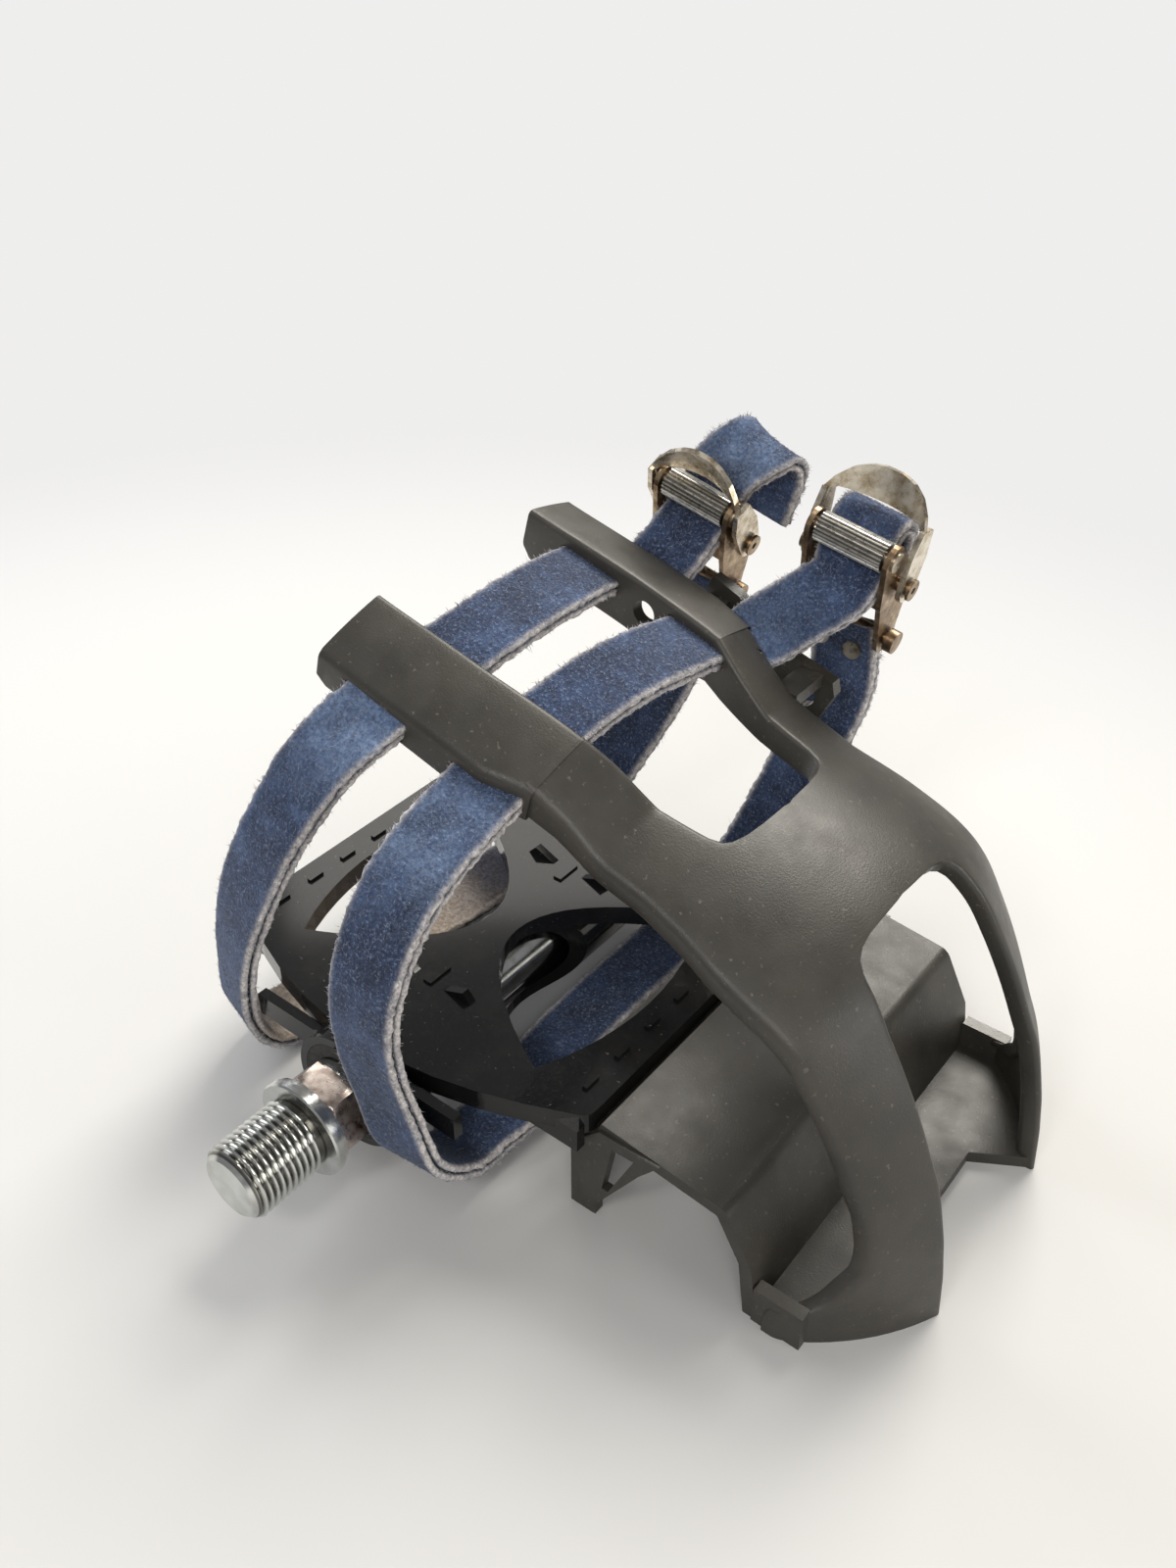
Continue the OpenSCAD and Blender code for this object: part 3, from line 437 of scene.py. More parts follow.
def mirrored(made):
    """The same vertices and faces on the other side of the cage's middle plane."""
    vertices, faces = made
    return [(x, 2 * CAGE_MIDDLE * MM - y, z) for x, y, z in vertices], faces


def arc(centre, radius, start, end, steps):
    """Points of an arc in a plane between two angles in degrees."""
    return [(centre[0] + radius * math.cos(math.radians(start + (end - start) * i / steps)),
             centre[1] + radius * math.sin(math.radians(start + (end - start) * i / steps)))
            for i in range(steps + 1)]


def shell_side(spring):
    """Outboard half of the shell: finger, half the hood and a leg. Its rings stand closer at the
    finger's end and at the hood's two edges."""
    stations = np.concatenate([
        [0, 0.15, 0.3, 0.45, 0.6, 0.8], np.arange(1, 8.05, 0.2), np.arange(8.05, 8.3, 0.02),
        np.arange(8.4, 9.95, 0.15), np.arange(10.0, 10.3, 0.02), np.arange(10.35, 11, 0.12),
        np.arange(11, 20.01, 0.2)])
    return ring_tube([[shell_point(s, a, d, spring) for a, d in shell_section(s)] for s in stations])


TABLE_Z = -16.0
# Floor plate, knee, riser and front wall seen from the side: x and z
FLOOR_PROFILE = [(42.2, 3), (42.2, 5.4), (42.8, 5.4), (44, 8.6)]
FLOOR_PROFILE += arc((66.6, 3.1), 3, 78, 25, 8)
FLOOR_PROFILE += [(74, -4.6), (75.4, -13.4), (78, -13.4), (78, TABLE_Z), (73.2, TABLE_Z), (71.6, -4.6)]
FLOOR_PROFILE += arc((66.6, 3.1), 0.6, 25, 78, 4)
FLOOR_PROFILE += [(45.2, 6), (44, 3)]
# Low floor between the feet: x, and y from the cage's middle
FRONT_FLOOR = [(75, -38.2), (78, -38.2), (82, -36.4), (88, -32.6), (92, -28), (96, -22), (98, -18.4),
               (88.4, -12.6), (88.4, 12.6), (98, 18.4), (96, 22), (92, 28), (88, 32.6), (82, 36.4),
               (78, 38.2), (75, 38.2)]
# Gusset with its slot at each rear corner tab, and the strap guide rail: x and z
GUSSET = [(40, -13), (42.6, -13), (52, 2), (56, 7.2), (44, 7.2), (40, 3)]
GUSSET_SLOT = [(46.6, 4.6), (51, 4.9), (45.9, -6.6), (44.6, -6.6)]
RAIL = [(10.6, 64.6), (12, 67.6), (17.5, 65.4), (28, 57.6), (38.6, 54.6), (39.2, 52), (35.9, 45),
        (29.5, 45.4), (26, 53.6), (16, 61.4)]
# The strap has polished all that lies outboard of this y
RAIL_SIDE = 101.5
cage = solid("toe_cage_moulding", *shell_side(FINGER_SPRING))
floor_plate = bar(FLOOR_PROFILE, "y", 27, 103)
screwed_tongue = box_bar((31, 27, 3), (43, 81, 5.4))
front_floor = bar([(x, CAGE_MIDDLE + y) for x, y in FRONT_FLOOR], "z", TABLE_Z, TABLE_Z + 2.6)
guide_rail = bar(RAIL, "y", 101.6, 104)
rear_bridge = box_bar((11.4, 94.8, 61.4), (16, 101.7, 63.8))
front_bridge = box_bar((31.5, 92.6, 53.2), (36.5, 101.7, 55.6))
cage_parts = [mirrored(shell_side(0.0)), floor_plate, screwed_tongue, front_floor, guide_rail,
              rear_bridge, front_bridge]
foot_wall = box_bar((75, CAGE_MIDDLE - 38.4, TABLE_Z), (84, CAGE_MIDDLE - 36, TABLE_Z + 8))
corner_tab = box_bar((37.5, 27, TABLE_Z + 0.4), (42.7, 29.2, 3.8))
corner_gusset = bar(GUSSET, "y", 26.4, 28.2)
for made in (foot_wall, corner_tab, corner_gusset):
    cage_parts += [made, mirrored(made)]
combine(cage, [solid("part", *made) for made in cage_parts], "UNION")


HOLE_SIDES = 32


def drill(centre, axis, radius, length):
    """Round cutter along the y or z axis, centred on its length."""
    circle = arc((0, 0), radius, 0, 360 - 360 / HOLE_SIDES, HOLE_SIDES - 1)
    second = {"y": 2, "z": 1}[axis]
    outline = [(centre[0] + u, centre[second] + v) for u, v in circle]
    middle = centre["xyz".index(axis)]
    return bar(outline, axis, middle - length / 2, middle + length / 2)


STRAP_WIDE = 13.0
STRAP_THICK = 3.0
SLOT_ROOM = 0.3
SLOT_CORNER = 0.5
# Strap routes, which the cage's slots follow: x, y, z of the strap's middle, then y and z of
# its width direction for x = 1. A route starts at the buckle's anchor bar and ends in the tail.
FRONT_ROUTE = np.array([
    (33.4, 114.4, 60.8, 0, -0.17), (33.7, 115.4, 54, 0, -0.17), (33.6, 115, 46, 0, -0.16),
    (31.6, 112.6, 36, 0, -0.12), (27.6, 108, 20, 0, -0.05), (23.2, 102, 5, 0, 0),
    (20, 92, -3.6, 0.04, 0), (19.4, 75, -4.2, 0.06, 0), (19.4, 58, -4.2, 0.08, 0.02),
    (19.6, 44.4, -5, 0.1, 0.04), (19.2, 34.8, -8.9, 0.12, 0.06), (17.9, 26.4, -10.7, 0.13, 0.1),
    (17.8, 17.8, -9.8, 0.1, 0.06), (17.7, 8.9, -0.8, 0.05, 0.04), (14.9, 7.2, 11.2, 0.02, 0.03),
    (13.6, 5.8, 23, 0, 0), (14, 5.8, 34, 0, -0.06), (14.8, 9, 44, 0.02, -0.15),
    (15.2, 15, 51.6, 0.02, -0.24), (15.2, 23, 56, 0, -0.28), (15.5, 32.8, 59.4, 0, -0.28),
    (16.3, 39.5, 62.3, 0, -0.28), (17.3, 46.2, 65, 0, -0.28), (18.7, 56, 67.3, 0, -0.28),
    (19.7, 65, 67.9, 0, -0.28), (20.3, 74, 66.9, 0, -0.3), (20.6, 83.8, 64.9, 0, -0.3),
    (21.4, 91, 62.7, 0, -0.3), (23.4, 97.2, 60.7, 0, -0.3), (29.6, 102, 66, 0, -0.25),
    (35.8, 106.6, 72.2, 0, -0.18), (35.4, 110.4, 76.9, 0, -0.17), (35.9, 111.7, 79.3, 0, -0.17),
    (36.2, 113.4, 81.5, 0, -0.17), (36.3, 115.9, 81.8, 0, -0.17), (36.1, 118.3, 80.4, 0, -0.17),
    (35.6, 119.3, 76, 0, -0.17), (34.2, 119.3, 64, 0, -0.17)])
REAR_ROUTE = np.array([
    (0.1, 114.4, 60.2, 0, -0.22), (-0.6, 115.2, 54, 0, -0.18), (-2.8, 114.8, 44, 0.05, -0.1),
    (-6.6, 112.4, 32, 0.1, 0.1), (-12, 107.4, 18, 0.15, 0.2), (-17.4, 101, 5, 0.12, 0.1),
    (-21, 92, -3.1, 0.02, 0), (-21.6, 78, -4.2, -0.1, -0.02), (-22.8, 62, -4.2, -0.15, -0.04),
    (-26.6, 46.4, -5.2, -0.22, -0.08), (-30.8, 34.6, -10, -0.24, -0.14),
    (-32.6, 26.8, -12.7, -0.22, -0.18), (-32.9, 19.2, -9.7, -0.24, -0.06),
    (-31.8, 14.8, -1.6, -0.33, 0.08), (-29.6, 13.2, 9.4, -0.38, 0.22),
    (-26.7, 13.1, 21, -0.26, 0.28), (-22.3, 14.5, 33.6, -0.08, 0.3), (-17.2, 17.7, 46, 0.02, 0.26),
    (-12.5, 23, 56.8, 0.12, 0.06), (-9.4, 28.4, 62.5, 0.1, -0.18), (-7.1, 32.8, 65.5, 0.04, -0.28),
    (-5.1, 39, 68.3, 0, -0.3), (-3.3, 46.2, 70.4, 0, -0.3), (-2, 56, 72.5, 0, -0.28),
    (-1.8, 65, 73.1, 0, -0.27), (-2.4, 74, 72.5, 0, -0.28), (-3.3, 83.8, 71.1, 0, -0.28),
    (-2.3, 91, 69.2, 0, -0.28), (0.4, 97.2, 66.7, 0, -0.28), (2.1, 101.8, 69.6, 0, -0.25),
    (3.3, 107.6, 74.2, 0, -0.22), (3.9, 111.3, 77, 0, -0.22), (4.8, 112, 80.3, 0, -0.24),
    (6.2, 112.6, 83.3, 0, -0.3), (8.5, 113.8, 86, 0, -0.4), (10.8, 116.1, 87.4, 0, -0.46),
    (12, 119.1, 86.8, 0, -0.46), (12, 121, 83, 0, -0.4), (9.6, 120.4, 73.6, 0, -0.3)])


# Parts of both routes that run through the inboard and the outboard finger
FINGER_STATIONS = ((19, 22.5), (25.5, 29))


def strap_frame(route, s):
    """Middle, width direction and outward direction of a strap at place s of its route."""
    last = len(route) - 1
    here = curve_point(route, s)
    after, before = curve_point(route, min(s + NUDGE, last)), curve_point(route, max(s - NUDGE, 0))
    along = unit(after[:3] - before[:3])
    lean = np.array([1, here[3], here[4]])
    wide = unit(lean - lean.dot(along) * along)
    return here[:3], wide, np.cross(wide, along)


def strap_passage(route, start, end):
    """Cutter for the slots that a strap runs through, with its corners cut off."""
    half_wide, half_thick = STRAP_WIDE / 2 + SLOT_ROOM, STRAP_THICK / 2 + SLOT_ROOM
    one_side = [(half_wide - SLOT_CORNER, half_thick), (half_wide, half_thick - SLOT_CORNER),
                (half_wide, SLOT_CORNER - half_thick), (half_wide - SLOT_CORNER, -half_thick)]
    outline = one_side + [(-u, v) for u, v in one_side[::-1]]
    rings = []
    for s in np.arange(start, end + 0.01, 0.25):
        middle, wide, out = strap_frame(route, s)
        rings.append([middle + u * wide + v * out for u, v in outline])
    return ring_tube(rings)


# Cut off at the table, drilled to save weight and for the screws, and slotted for the straps
below_table = box_bar((60, -20, TABLE_Z - 10), (140, 150, TABLE_Z))
rail_hole = drill((32.4, 103, 50.4), "y", 2.95, 6)
cage_cuts = [below_table, rail_hole]
finger_hole = drill((9.3, CAGE_MIDDLE - 20, 66.8), "y", 2.35, 6)
gusset_slot = bar(GUSSET_SLOT, "y", 26, 29)
for made in (finger_hole, gusset_slot):
    cage_cuts += [made, mirrored(made)]
PLATFORM_MIDDLE = 53.7
cage_cuts += [drill((37.5, PLATFORM_MIDDLE + y, 4), "z", 2.1, 8) for y in (-20, 0, 20)]
for route in (FRONT_ROUTE, REAR_ROUTE):
    cage_cuts += [strap_passage(route, *finger) for finger in FINGER_STATIONS]
combine(cage, [solid("cut", *made) for made in cage_cuts], "DIFFERENCE")


def eased(piece, width, angle=32, segments=2):
    """Rounds the sharp edges of a moulding or pressing slightly and shades it smooth."""
    ease = piece.modifiers.new("eased_edges", "BEVEL")
    ease.width = width * MM
    ease.segments = segments
    ease.limit_method = "ANGLE"
    ease.angle_limit = math.radians(angle)
    ease.harden_normals = True
    for face in piece.data.polygons:
        face.use_smooth = True
    piece.data.set_sharp_from_angle(angle=math.radians(angle))


def dressed(piece, material):
    """Leaves a piece with one material."""
    piece.data.materials.clear()
    piece.data.materials.append(material)


def finished(piece, material, body):
    """Gives a new piece its material and the body that it rides on."""
    dressed(piece, material)
    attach(piece, body)


eased(cage, 0.3)
finished(cage, moulded_nylon("cage_nylon", 0.0), "pedal")
cage.data.materials.append(moulded_nylon("rail_nylon", 0.2))
for face in cage.data.polygons:
    face.material_index = int(face.center.y / MM > RAIL_SIDE)
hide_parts("toe_cage")


# Platform and its dust cap: glossy black nylon, injection moulded round the bearing barrel, with
# softly rounded edges under a film of fine dust and hair scratches.
def glossy_nylon():
    """Glossy black nylon under dust specks, with fine scratches along one direction."""
    finish = Finish("platform_nylon", (0.012, 0.012, 0.012), 0.16)
    dust = finish.ramp(finish.noise(9, 6, 0.65), (0.5, 0.0), (0.85, 1.0))
    speck = finish.ramp(finish.noise(0.8, 2), (0.7, 0.0), (0.76, 1.0))
    base = finish.blend(dust, (0.007, 0.007, 0.007), (0.018, 0.0175, 0.016))
    finish.colour(finish.blend(speck, base, (0.07, 0.068, 0.06)))
    scratch = finish.ramp(finish.noise(0.6, 2, 0.5, stretch=(1, 8, 1)), (0.6, 0.0), (0.68, 1.0))
    finish.roughness(finish.blend(scratch, (0.1, 0.1, 0.1), (0.24, 0.24, 0.24)))
    finish.bump(finish.noise(22, 1), 0.25, 0.12)
    return finish.material


platform_finish = glossy_nylon()
for node in ("platform", "end_cap"):
    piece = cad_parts[node]
    eased(piece, 0.45, angle=40, segments=3)
    dressed(piece, platform_finish)


# Straps: two plies of blue suede glued back to back, cut 13 mm wide, with raw edges that have
# gone pale and hairy. Each runs under the platform, up through both fingers and over its roller.
ROUTE_SAMPLES = 4000
RING_STEP = 0.8
# What the mesh tells the material at each point
STRAP_MARKS = ("edge", "groove", "inside", "rub")


def even_places(route, step):
    """Places along a route that are step millimetres apart."""
    dense = np.linspace(0, len(route) - 1, ROUTE_SAMPLES)
    points = np.array([curve_point(route, s)[:3] for s in dense])
    run = np.concatenate([[0], np.cumsum(np.linalg.norm(np.diff(points, axis=0), axis=1))])
    return np.interp(np.linspace(0, run[-1], int(run[-1] / step)), run, dense)


def suede():
    """Worn blue suede; the mesh says where it is raw edge, glue line, bare inside or rubbed."""
    finish = Finish("strap_suede", (0.03, 0.07, 0.18), 0.95)
    edge, groove, inside, rub = (finish.attribute(name) for name in STRAP_MARKS)
    broad = finish.noise(11, 7, 0.72)
    fine = finish.noise(0.75, 4, 0.75)
    hair = finish.noise(0.28, 2, 0.6)
    fleck = finish.noise(0.5, 3, 0.65)
    navy = finish.ramp(broad, (0.34, (0.004, 0.008, 0.024)), (0.47, (0.01, 0.019, 0.053)),
                       (0.58, (0.024, 0.044, 0.105)), (0.7, (0.07, 0.11, 0.215)))
    worn = finish.blend(finish.ramp(fine, (0.45, 0.0), (0.7, 0.55)), navy, (0.07, 0.108, 0.2))
    worn = finish.blend(finish.ramp(fleck, (0.55, 0.0), (0.68, 0.6)), worn, (0.19, 0.25, 0.38))
    worn = finish.blend(finish.ramp(fleck, (0.34, 0.6), (0.45, 0.0)), worn, (0.005, 0.009, 0.026))
    raw = finish.ramp(fine, (0.3, (0.2, 0.195, 0.22)), (0.48, (0.46, 0.43, 0.42)),
                      (0.66, (0.76, 0.72, 0.68)))
    beige = finish.ramp(fine, (0.3, (0.2, 0.15, 0.11)), (0.55, (0.46, 0.38, 0.3)),
                        (0.75, (0.68, 0.6, 0.5)))
    pale_blue = finish.ramp(fine, (0.35, (0.07, 0.12, 0.24)), (0.65, (0.24, 0.33, 0.5)))
    worn = finish.blend(rub, worn, pale_blue)
    cover = finish.blend(edge, worn, raw)
    cover = finish.blend(inside, cover, beige)
    finish.colour(finish.blend(groove, cover, (0.008, 0.008, 0.01)))
    finish.shader.inputs["Sheen Weight"].default_value = 0.22
    finish.shader.inputs["Sheen Roughness"].default_value = 0.5
    finish.shader.inputs["Sheen Tint"].default_value = (0.5, 0.58, 0.75, 1)
    finish.bump(hair, 0.16, 0.8)
    finish.bump(fleck, 0.35, 0.9)
    finish.bump(finish.noise(3.5, 3), 0.35, 0.5)
    return finish.material


def wander(place, size, seed):
    """Smooth noise from -1 to 1 with blotches of size millimetres."""
    return noise.noise(Vector(place) / size + Vector((seed, seed * 0.7, -seed)))


# Places across the strap's outline, mirrored for the other edge: across, out, how pale the raw
# leather shows there and how deep the glue line is
STRAP_HALF = STRAP_WIDE / 2
PLY = STRAP_THICK / 2
STRAP_SIDE = [(STRAP_HALF - 0.7, PLY, 0.12, 0), (STRAP_HALF - 0.25, PLY - 0.04, 0.5, 0),
              (STRAP_HALF, PLY - 0.35, 0.85, 0), (STRAP_HALF + 0.08, 0.7, 0.8, 0),
              (STRAP_HALF, 0.34, 0.7, 0.1), (STRAP_HALF - 0.6, 0.12, 0.1, 1),
              (STRAP_HALF - 0.6, -0.12, 0.1, 1), (STRAP_HALF + 0.05, -0.32, 0.8, 0.15),
              (STRAP_HALF + 0.22, -0.75, 1, 0), (STRAP_HALF + 0.15, 0.3 - PLY, 1, 0),
              (STRAP_HALF - 0.25, 0.04 - PLY, 0.7, 0), (STRAP_HALF - 0.7, -PLY, 0.2, 0)]
FACE_PLACES = [x / 6 * (STRAP_HALF - 1.2) for x in range(-6, 7)]
FIBRES_ON_EDGES = 5200
FIBRES_ON_FACES = 5200
EDGE_FIBRE_RADIUS = 0.08
FACE_FIBRE_RADIUS = 0.06
FIBRE_FACES = ((0, 2, 1), (0, 1, 3), (1, 2, 3), (2, 0, 3))
LONG_SHARE = 0.03
LONG_STRETCH = 2.2


def strap_outline():
    """Outline of the two plies: (across, out, pale, glue)."""
    face = [(x, PLY, 0, 0) for x in FACE_PLACES]
    far_side = [(-x, y, pale, glue) for x, y, pale, glue in STRAP_SIDE[::-1]]
    return face + STRAP_SIDE + [(-x, -y, 0, 0) for x, y, _, _ in face] + far_side


def fibre(root, way, length, radius, spin):
    """Corners of one hair: a thin three-sided spike."""
    first = unit(np.cross(way, spin))
    second = np.cross(way, first)
    around = [root + radius * (math.cos(a) * first + math.sin(a) * second) for a in (0, 2.1, 4.2)]
    return around + [root + way * length]


def edge_fibre(draw, middle, wide, out, along):
    """Root, direction, length, radius and paleness of a hair on one of the cut edges."""
    side = draw.choice((-1, 1))
    depth = draw.uniform(-PLY, PLY)
    root = middle + side * (STRAP_HALF - 0.15) * wide + depth * out
    way = side * wide + draw.gauss(0, 0.7) * along + (0.35 * depth + draw.gauss(0, 0.4)) * out
    size, pale = draw.uniform(0.3, 0.95), draw.uniform(0.55, 1)
    if draw.random() < LONG_SHARE:
        size *= LONG_STRETCH
    return root, unit(way), size, EDGE_FIBRE_RADIUS, pale


def face_fibre(draw, middle, wide, out, along):
    """The same for a hair that lies nearly flat on a face, more often on the outer one."""
    face = draw.choice((-1, 1, 1))
    root = middle + draw.uniform(-STRAP_HALF, STRAP_HALF) * wide + face * (PLY - 0.02) * out
    turn = draw.uniform(0, 2 * math.pi)
    way = math.cos(turn) * wide + math.sin(turn) * along + face * draw.uniform(0.1, 0.5) * out
    size, pale = draw.uniform(0.5, 1.2), draw.uniform(0.1, 0.6)
    return root, unit(way), size, FACE_FIBRE_RADIUS, pale


def strap(name, route, seed, pale_inside, rubbed):
    """The strap's mesh with its fibres, and point attributes for its finish."""
    outline = strap_outline()
    rings, points = [], []
    for s in even_places(route, RING_STEP):
        middle, wide, out = strap_frame(route, s)
        bare, rub = on_table(s, pale_inside), on_table(s, rubbed)
        ring = []
        for across, depth, pale, glue in outline:
            base = middle + across * wide + depth * out
            ragged = 0.5 * min(1.0, pale * 1.3) * wander(base, 0.9, seed)
            nap = 0.12 * wander(base, 1.3, seed + 3) + 0.1 * wander(base, 5, seed + 5)
            ring.append(base + math.copysign(1, across) * ragged * wide
                        + math.copysign(1, depth) * (nap if abs(depth) > 0.5 else 0) * out)
            shown = pale * (1.05 + 0.6 * wander(base, 1.7, seed + 7))
            patch = rub * (0.75 + 0.8 * wander(base, 4, seed + 9))
            points.append((shown, glue, bare if depth < 0 else 0, patch if depth > 0 else 0))
        rings.append(ring)
    vertices, faces = ring_tube(rings)
    draw = random.Random(int(seed * 10))
    last = len(route) - 1
    for i in range(FIBRES_ON_EDGES + FIBRES_ON_FACES):
        s = draw.uniform(0.02, last - 0.02)
        middle, wide, out = strap_frame(route, s)
        along = np.cross(wide, out)
        make = edge_fibre if i < FIBRES_ON_EDGES else face_fibre
        root, way, size, thick, pale = make(draw, middle, wide, out, along)
        start = len(vertices)
        vertices += [tuple(p * MM) for p in fibre(root, way, size, thick, wide + along)]
        faces += [tuple(start + k for k in corner) for corner in FIBRE_FACES]
        bare = on_table(s, pale_inside) if (root - middle).dot(out) < 0 else 0
        points += [(pale, 0, bare, 0)] * 4
    piece = solid(name, vertices, faces)
    for column, label in enumerate(STRAP_MARKS):
        layer = piece.data.attributes.new(label, "FLOAT", "POINT")
        layer.data.foreach_set("value", np.array([p[column] for p in points], np.float32).clip(0, 1))
    for face in piece.data.polygons:
        face.use_smooth = True
    return piece


# Stretches of the routes as (place, share). The rear strap's inner face is worn bare where it
# runs under the platform's crank end.
BARE_STRETCH = {"front": ((0, 0), (1, 0)), "rear": ((6.5, 0), (8.5, 0.9), (12.5, 0.9), (14, 0))}
# Both straps are rubbed pale round the inboard finger, the front one beside the outboard finger
# and the rear one at its tail
RUBBED_STRETCH = {
    "front": ((17, 0), (18.5, 0.4), (19.5, 0.4), (20.5, 0), (27, 0), (28, 0.5), (30, 0)),
    "rear": ((17.5, 0), (19, 0.8), (20, 0.8), (21, 0), (32.5, 0), (34, 0.6), (35, 0.6), (36, 0))}
suede_finish = suede()
for name, route, seed in (("front", FRONT_ROUTE, 2.3), ("rear", REAR_ROUTE, 8.1)):
    piece = strap(name + "_suede_strap", route, seed, BARE_STRETCH[name], RUBBED_STRETCH[name])
    finished(piece, suede_finish, "pedal")
    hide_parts(name + "_strap")


# Buckles: pressed steel frames and thumb levers, nickel plated and gone brown, with a bright
# grooved roller that grips the strap. Pins are riveted over.
ROLLER_CREST = 2.8
ROLLER_ROOT = 2.45


def tarnished_nickel():
    """Nickel plate with brown patina and pale worn places."""
    finish = Finish("lever_nickel", (0.5, 0.42, 0.32), 0.35, 1.0)
    patina = finish.noise(3.2, 6, 0.65)
    finish.colour(finish.ramp(patina, (0.28, (0.2, 0.14, 0.08)), (0.42, (0.42, 0.35, 0.25)),
                              (0.55, (0.66, 0.6, 0.5)), (0.75, (0.82, 0.78, 0.7))))
    finish.roughness(finish.ramp(finish.noise(1.5, 5), (0.3, 0.2), (0.75, 0.45)))
    finish.bump(finish.noise(1.1, 4), 0.05, 0.5)
    return finish.material


def bronzed_steel():
    """Steel that has lost most of its plating and gone brown."""
    finish = Finish("frame_bronze", (0.3, 0.2, 0.12), 0.4, 1.0)
    patina = finish.noise(2.6, 6, 0.65)
    finish.colour(finish.ramp(patina, (0.28, (0.12, 0.075, 0.045)), (0.45, (0.24, 0.165, 0.1)),
                              (0.6, (0.38, 0.285, 0.185)), (0.8, (0.6, 0.5, 0.37))))
    finish.roughness(finish.ramp(finish.noise(1.2, 5), (0.3, 0.24), (0.75, 0.55)))
    finish.bump(finish.noise(0.9, 4), 0.06, 0.6)
    return finish.material


def bright_nickel(name, centre, axis):
    """Bright grooved roller, with painted shade that darkens the bottoms of its grooves."""
    finish = Finish(name, (0.62, 0.6, 0.56), 0.3, 1.0)
    bright = finish.ramp(finish.noise(2.0, 5), (0.3, (0.6, 0.58, 0.53)), (0.7, (0.8, 0.78, 0.74)))
    reach = finish.radius(centre, axis, ROLLER_ROOT, ROLLER_CREST)
    # Painted shade: the colour darkens from the crests down into the groove bottoms
    crest = finish.ramp(reach, (0.2, 0.0), (0.6, 1.0))
    finish.colour(finish.blend(crest, (0.24, 0.22, 0.185), bright))
    finish.roughness(finish.ramp(finish.noise(1.0, 4), (0.3, 0.24), (0.8, 0.4)))
    return finish.material


# Middle of each roller, and how far its pin leans from the x axis in degrees
BUCKLE_TILTS = {"front": (Vector((36.7, 107, 80)) * MM, 9.8),
                "rear": (Vector((4.4, 107, 79.2)) * MM, 12.6)}
lever_finish, frame_finish = tarnished_nickel(), bronzed_steel()
for end, (centre, tilt) in BUCKLE_TILTS.items():
    axis = (math.cos(math.radians(tilt)), 0, -math.sin(math.radians(tilt)))
    roller_finish = bright_nickel(end + "_roller_nickel", centre, axis)
    finishes = {"buckle_frame": frame_finish, "lever": lever_finish, "roller": roller_finish,
                "roller_pin": lever_finish, "lever_pin": frame_finish, "anchor_pin": frame_finish,
                "rivets": lever_finish}
    for part, finish in finishes.items():
        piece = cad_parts[end + "_" + part]
        dressed(piece, finish)
        if part in ("buckle_frame", "lever"):
            eased(piece, 0.22, angle=35)


# Spindle: turned from one steel bar and bright zinc plated, with a left-hand thread of twenty
# turns to the inch, a flange that seats on the crank, a hexagon for the wrench and the inboard
# ball race ground on it.
THREAD_RADIUS = 7.14
THREAD_LENGTH = 15.3
THREAD_PITCH = 1.27
THREAD_DEPTH = 0.72
# Rise of a flank in depths for each pitch, and how much of it the rounded root takes off
FLANK_RISE = 2.6
ROOT_ROUND = 0.15
RINGS_A_PITCH = 10
TIP_CHAMFER = 1.5
RELIEF = 1.1
FLANGE_RADIUS = 9.5
NECK_RADIUS = 7.4
HEX_RADIUS = 8.66
HEX_START = 3.06
HEX_LENGTH = 5.6
HEX_TURN = -10.0
# The hexagon's corners are cut back by this at its ends, and come out again at this slope
HEX_END_CUT = 0.56
HEX_END_SLOPE = 1.2
SHOULDER_RADIUS = 7.0
RACE_CENTRE = (7.4, 15.2)
RACE_RADIUS = 1.7375
SHAFT_RADIUS = 5.4
SPINDLE_SIDES = 72
# Radius at which the zinc's colour ramp starts, well inside the thread's root
ZINC_START = 5.9


def bright_zinc():
    """Bright zinc that is darker in the thread's root only."""
    finish = Finish("spindle_zinc", (0.6, 0.6, 0.57), 0.25, 1.0)
    wear = finish.noise(4, 5)
    bright = finish.ramp(wear, (0.3, (0.5, 0.5, 0.46)), (0.5, (0.62, 0.63, 0.61)),
                         (0.7, (0.72, 0.74, 0.73)))
    reach = finish.radius((0, 0, 0), (0, 1, 0), ZINC_START, THREAD_RADIUS)
    away_from_root = finish.ramp(reach, (0.25, 1.0), (0.36, 0.0), (0.5, 0.0), (0.8, 1.0))
    finish.colour(finish.blend(away_from_root, (0.16, 0.155, 0.14), bright))
    finish.roughness(finish.ramp(finish.noise(1.6, 5), (0.3, 0.14), (0.8, 0.28)))
    finish.bump(finish.noise(0.6, 3), 0.004, 0.3)
    return finish.material


def patinated_zinc():
    """Duller, browner zinc on the hexagon, where wrenches have rubbed it."""
    finish = Finish("hexagon_zinc", (0.5, 0.44, 0.4), 0.3, 1.0)
    wear = finish.noise(3, 6, 0.65)
    finish.colour(finish.ramp(wear, (0.3, (0.22, 0.17, 0.15)), (0.5, (0.42, 0.36, 0.33)),
                              (0.7, (0.6, 0.55, 0.52))))
    finish.roughness(finish.ramp(finish.noise(1.2, 5), (0.3, 0.22), (0.8, 0.45)))
    finish.bump(finish.noise(0.8, 4), 0.012, 0.5)
    return finish.material


def thread_reach(y, angle):
    """Radius of the thread's surface: root, flank and crest, cut back at the tip."""
    turn = (y / THREAD_PITCH - angle / (2 * math.pi)) % 1
    rise = min(1.0, max(0.0, FLANK_RISE * (0.5 - abs(turn - 0.5)) - ROOT_ROUND))
    tip = THREAD_RADIUS - TIP_CHAMFER + y + THREAD_LENGTH
    return min(THREAD_RADIUS - THREAD_DEPTH * (1 - rise), tip)


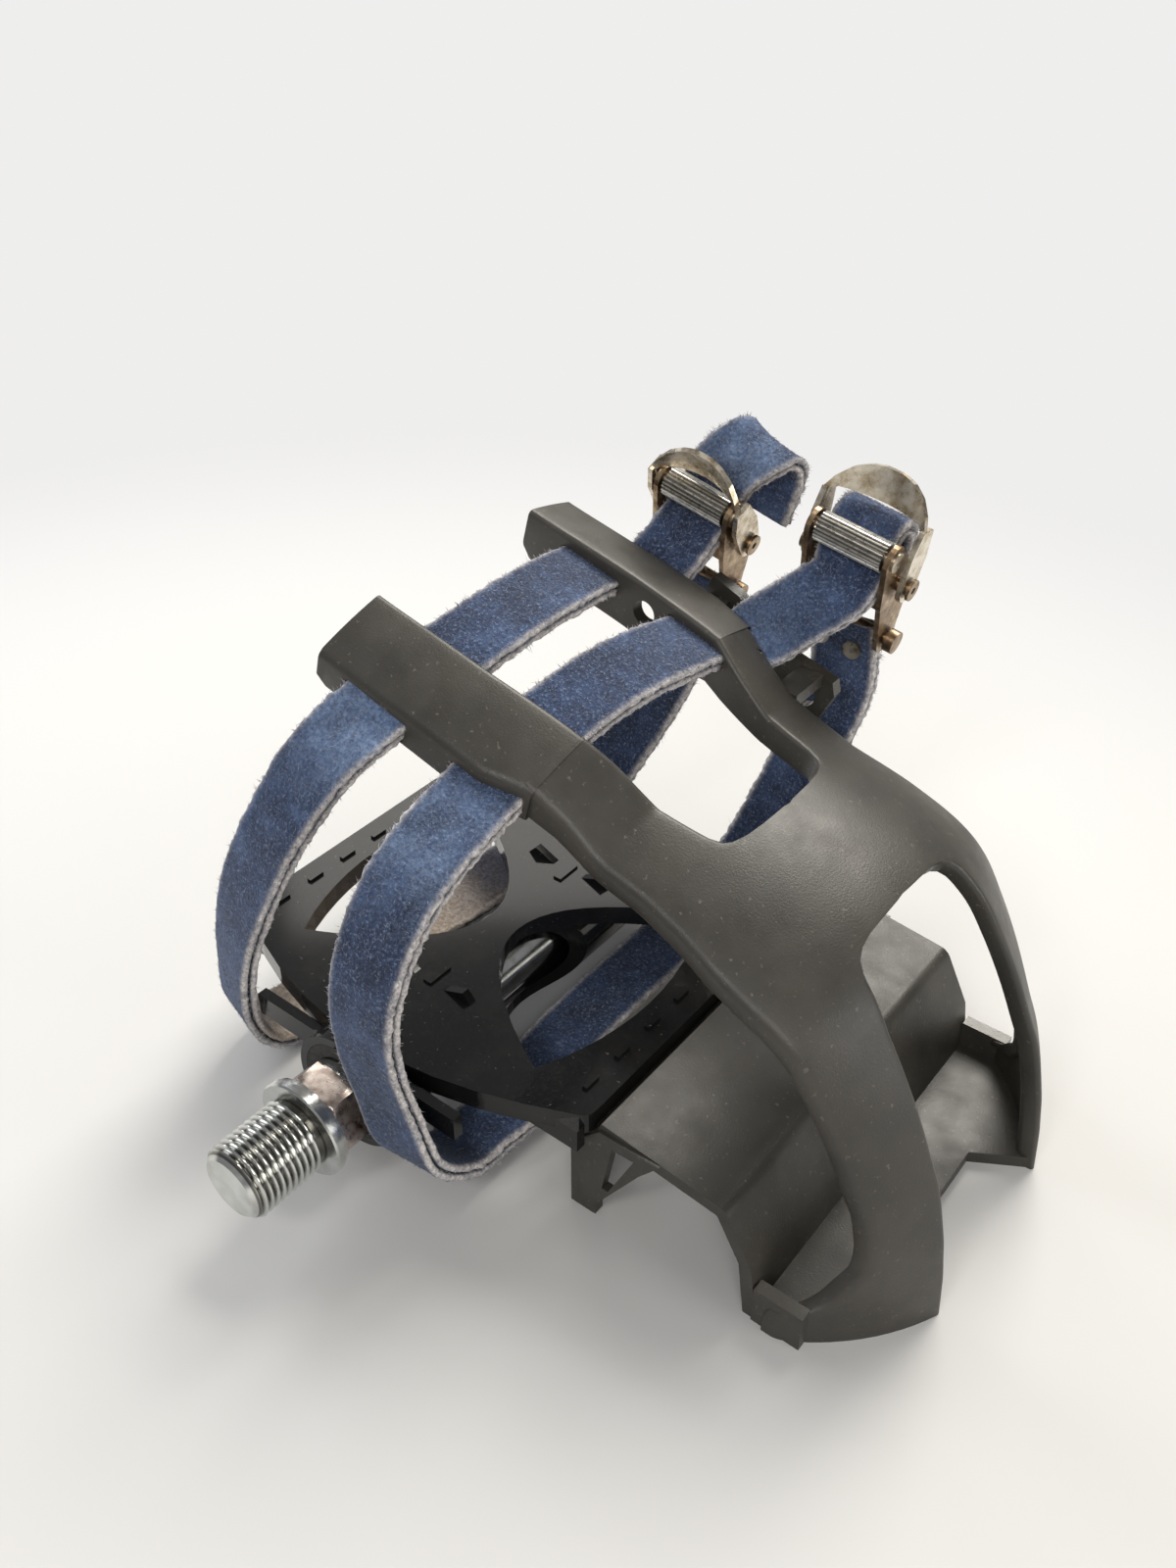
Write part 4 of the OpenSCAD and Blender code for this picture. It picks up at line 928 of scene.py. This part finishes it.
def hexagon_reach(y, angle):
    """Radius of the wrench hexagon, with its corners turned off at both ends."""
    flat = (angle - math.radians(HEX_TURN)) % (math.pi / 3) - math.pi / 6
    end = min(y - HEX_START, HEX_START + HEX_LENGTH - y)
    across = HEX_RADIUS * math.cos(math.pi / 6) / math.cos(flat)
    return min(across, HEX_RADIUS - HEX_END_CUT + HEX_END_SLOPE * end)


def spindle_rings():
    """Rings of the spindle from its crank end to its outboard end, from (y, radius) pairs."""
    angles = [2 * math.pi * i / SPINDLE_SIDES for i in range(SPINDLE_SIDES)]
    thread_places = np.arange(-THREAD_LENGTH, -RELIEF, THREAD_PITCH / RINGS_A_PITCH)
    thread = [(y, thread_reach) for y in thread_places]
    root = THREAD_RADIUS - THREAD_DEPTH
    collar = [(-RELIEF, root), (0, root), (0, FLANGE_RADIUS - 0.3), (0.3, FLANGE_RADIUS),
              (1.6, FLANGE_RADIUS), (1.6, FLANGE_RADIUS - 0.5), (2.6, FLANGE_RADIUS - 0.5),
              (2.6, NECK_RADIUS), (HEX_START, NECK_RADIUS)]
    hexagon = [(HEX_START + d, hexagon_reach) for d in (0, 0.25, 0.5, 2.8, 5.1, 5.35, HEX_LENGTH)]
    race = [(y, min(r, SHOULDER_RADIUS)) for r, y in arc(RACE_CENTRE, RACE_RADIUS, 195, 180, 8)]
    inside = ([(HEX_START + HEX_LENGTH, NECK_RADIUS), (10.4, NECK_RADIUS), (10.8, SHOULDER_RADIUS),
               (12.6, SHOULDER_RADIUS)] + race
              + [(16.2, RACE_CENTRE[0] - RACE_RADIUS), (16.8, SHAFT_RADIUS), (78, SHAFT_RADIUS),
                 (79, 4.6), (89.2, 4.6), (89.2, 3.75), (98.4, 3.75), (99, 3.2)])
    rings = []
    for y, reach in thread + collar + hexagon + inside:
        radii = [reach(y, a) if callable(reach) else reach for a in angles]
        rings.append([(r * math.cos(a), y, r * math.sin(a)) for r, a in zip(radii, angles)])
    return rings


zinc_finish = bright_zinc()
spindle = solid("turned_spindle", *ring_tube(spindle_rings()))
for face in spindle.data.polygons:
    face.use_smooth = True
spindle.data.set_sharp_from_angle(angle=math.radians(35))
finished(spindle, zinc_finish, "spindle")
spindle.data.materials.append(patinated_zinc())
for face in spindle.data.polygons:
    face.material_index = int(HEX_START < face.center.y / MM < HEX_START + HEX_LENGTH)
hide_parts("spindle")


# Bearings and fasteners: ground cups and balls, a screwed cone with its washer and nut, three cap
# screws with washers under the cage, and a rubber lip ring at the crank end.
def ground_steel():
    """Ground bearing steel under a film of yellowed oil."""
    finish = Finish("bearing_steel", (0.66, 0.65, 0.62), 0.18, 1.0)
    oil = finish.noise(2.2, 4)
    finish.colour(finish.ramp(oil, (0.3, (0.5, 0.46, 0.38)), (0.7, (0.76, 0.76, 0.74))))
    finish.roughness(finish.ramp(finish.noise(1.0, 4), (0.3, 0.12), (0.8, 0.3)))
    return finish.material


def lip_rubber():
    """Black rubber with dust in its pores."""
    finish = Finish("seal_rubber", (0.02, 0.02, 0.02), 0.7)
    dust = finish.noise(1.2, 4)
    finish.colour(finish.ramp(dust, (0.35, (0.014, 0.014, 0.014)), (0.7, (0.05, 0.047, 0.042))))
    finish.bump(finish.noise(0.5, 2), 0.05, 0.5)
    return finish.material


bearing_finish = ground_steel()
FITTINGS = {"inboard_seal": lip_rubber()}
FITTINGS.update(dict.fromkeys(("outboard_cone", "lock_washer", "inboard_cup", "outboard_cup",
                               "inboard_balls", "outboard_balls"), bearing_finish))
FITTINGS.update(dict.fromkeys(("lock_nut", "cage_screws", "cage_washers"), zinc_finish))
for node, finish in FITTINGS.items():
    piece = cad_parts[node]
    eased(piece, 0.1, angle=35)
    dressed(piece, finish)
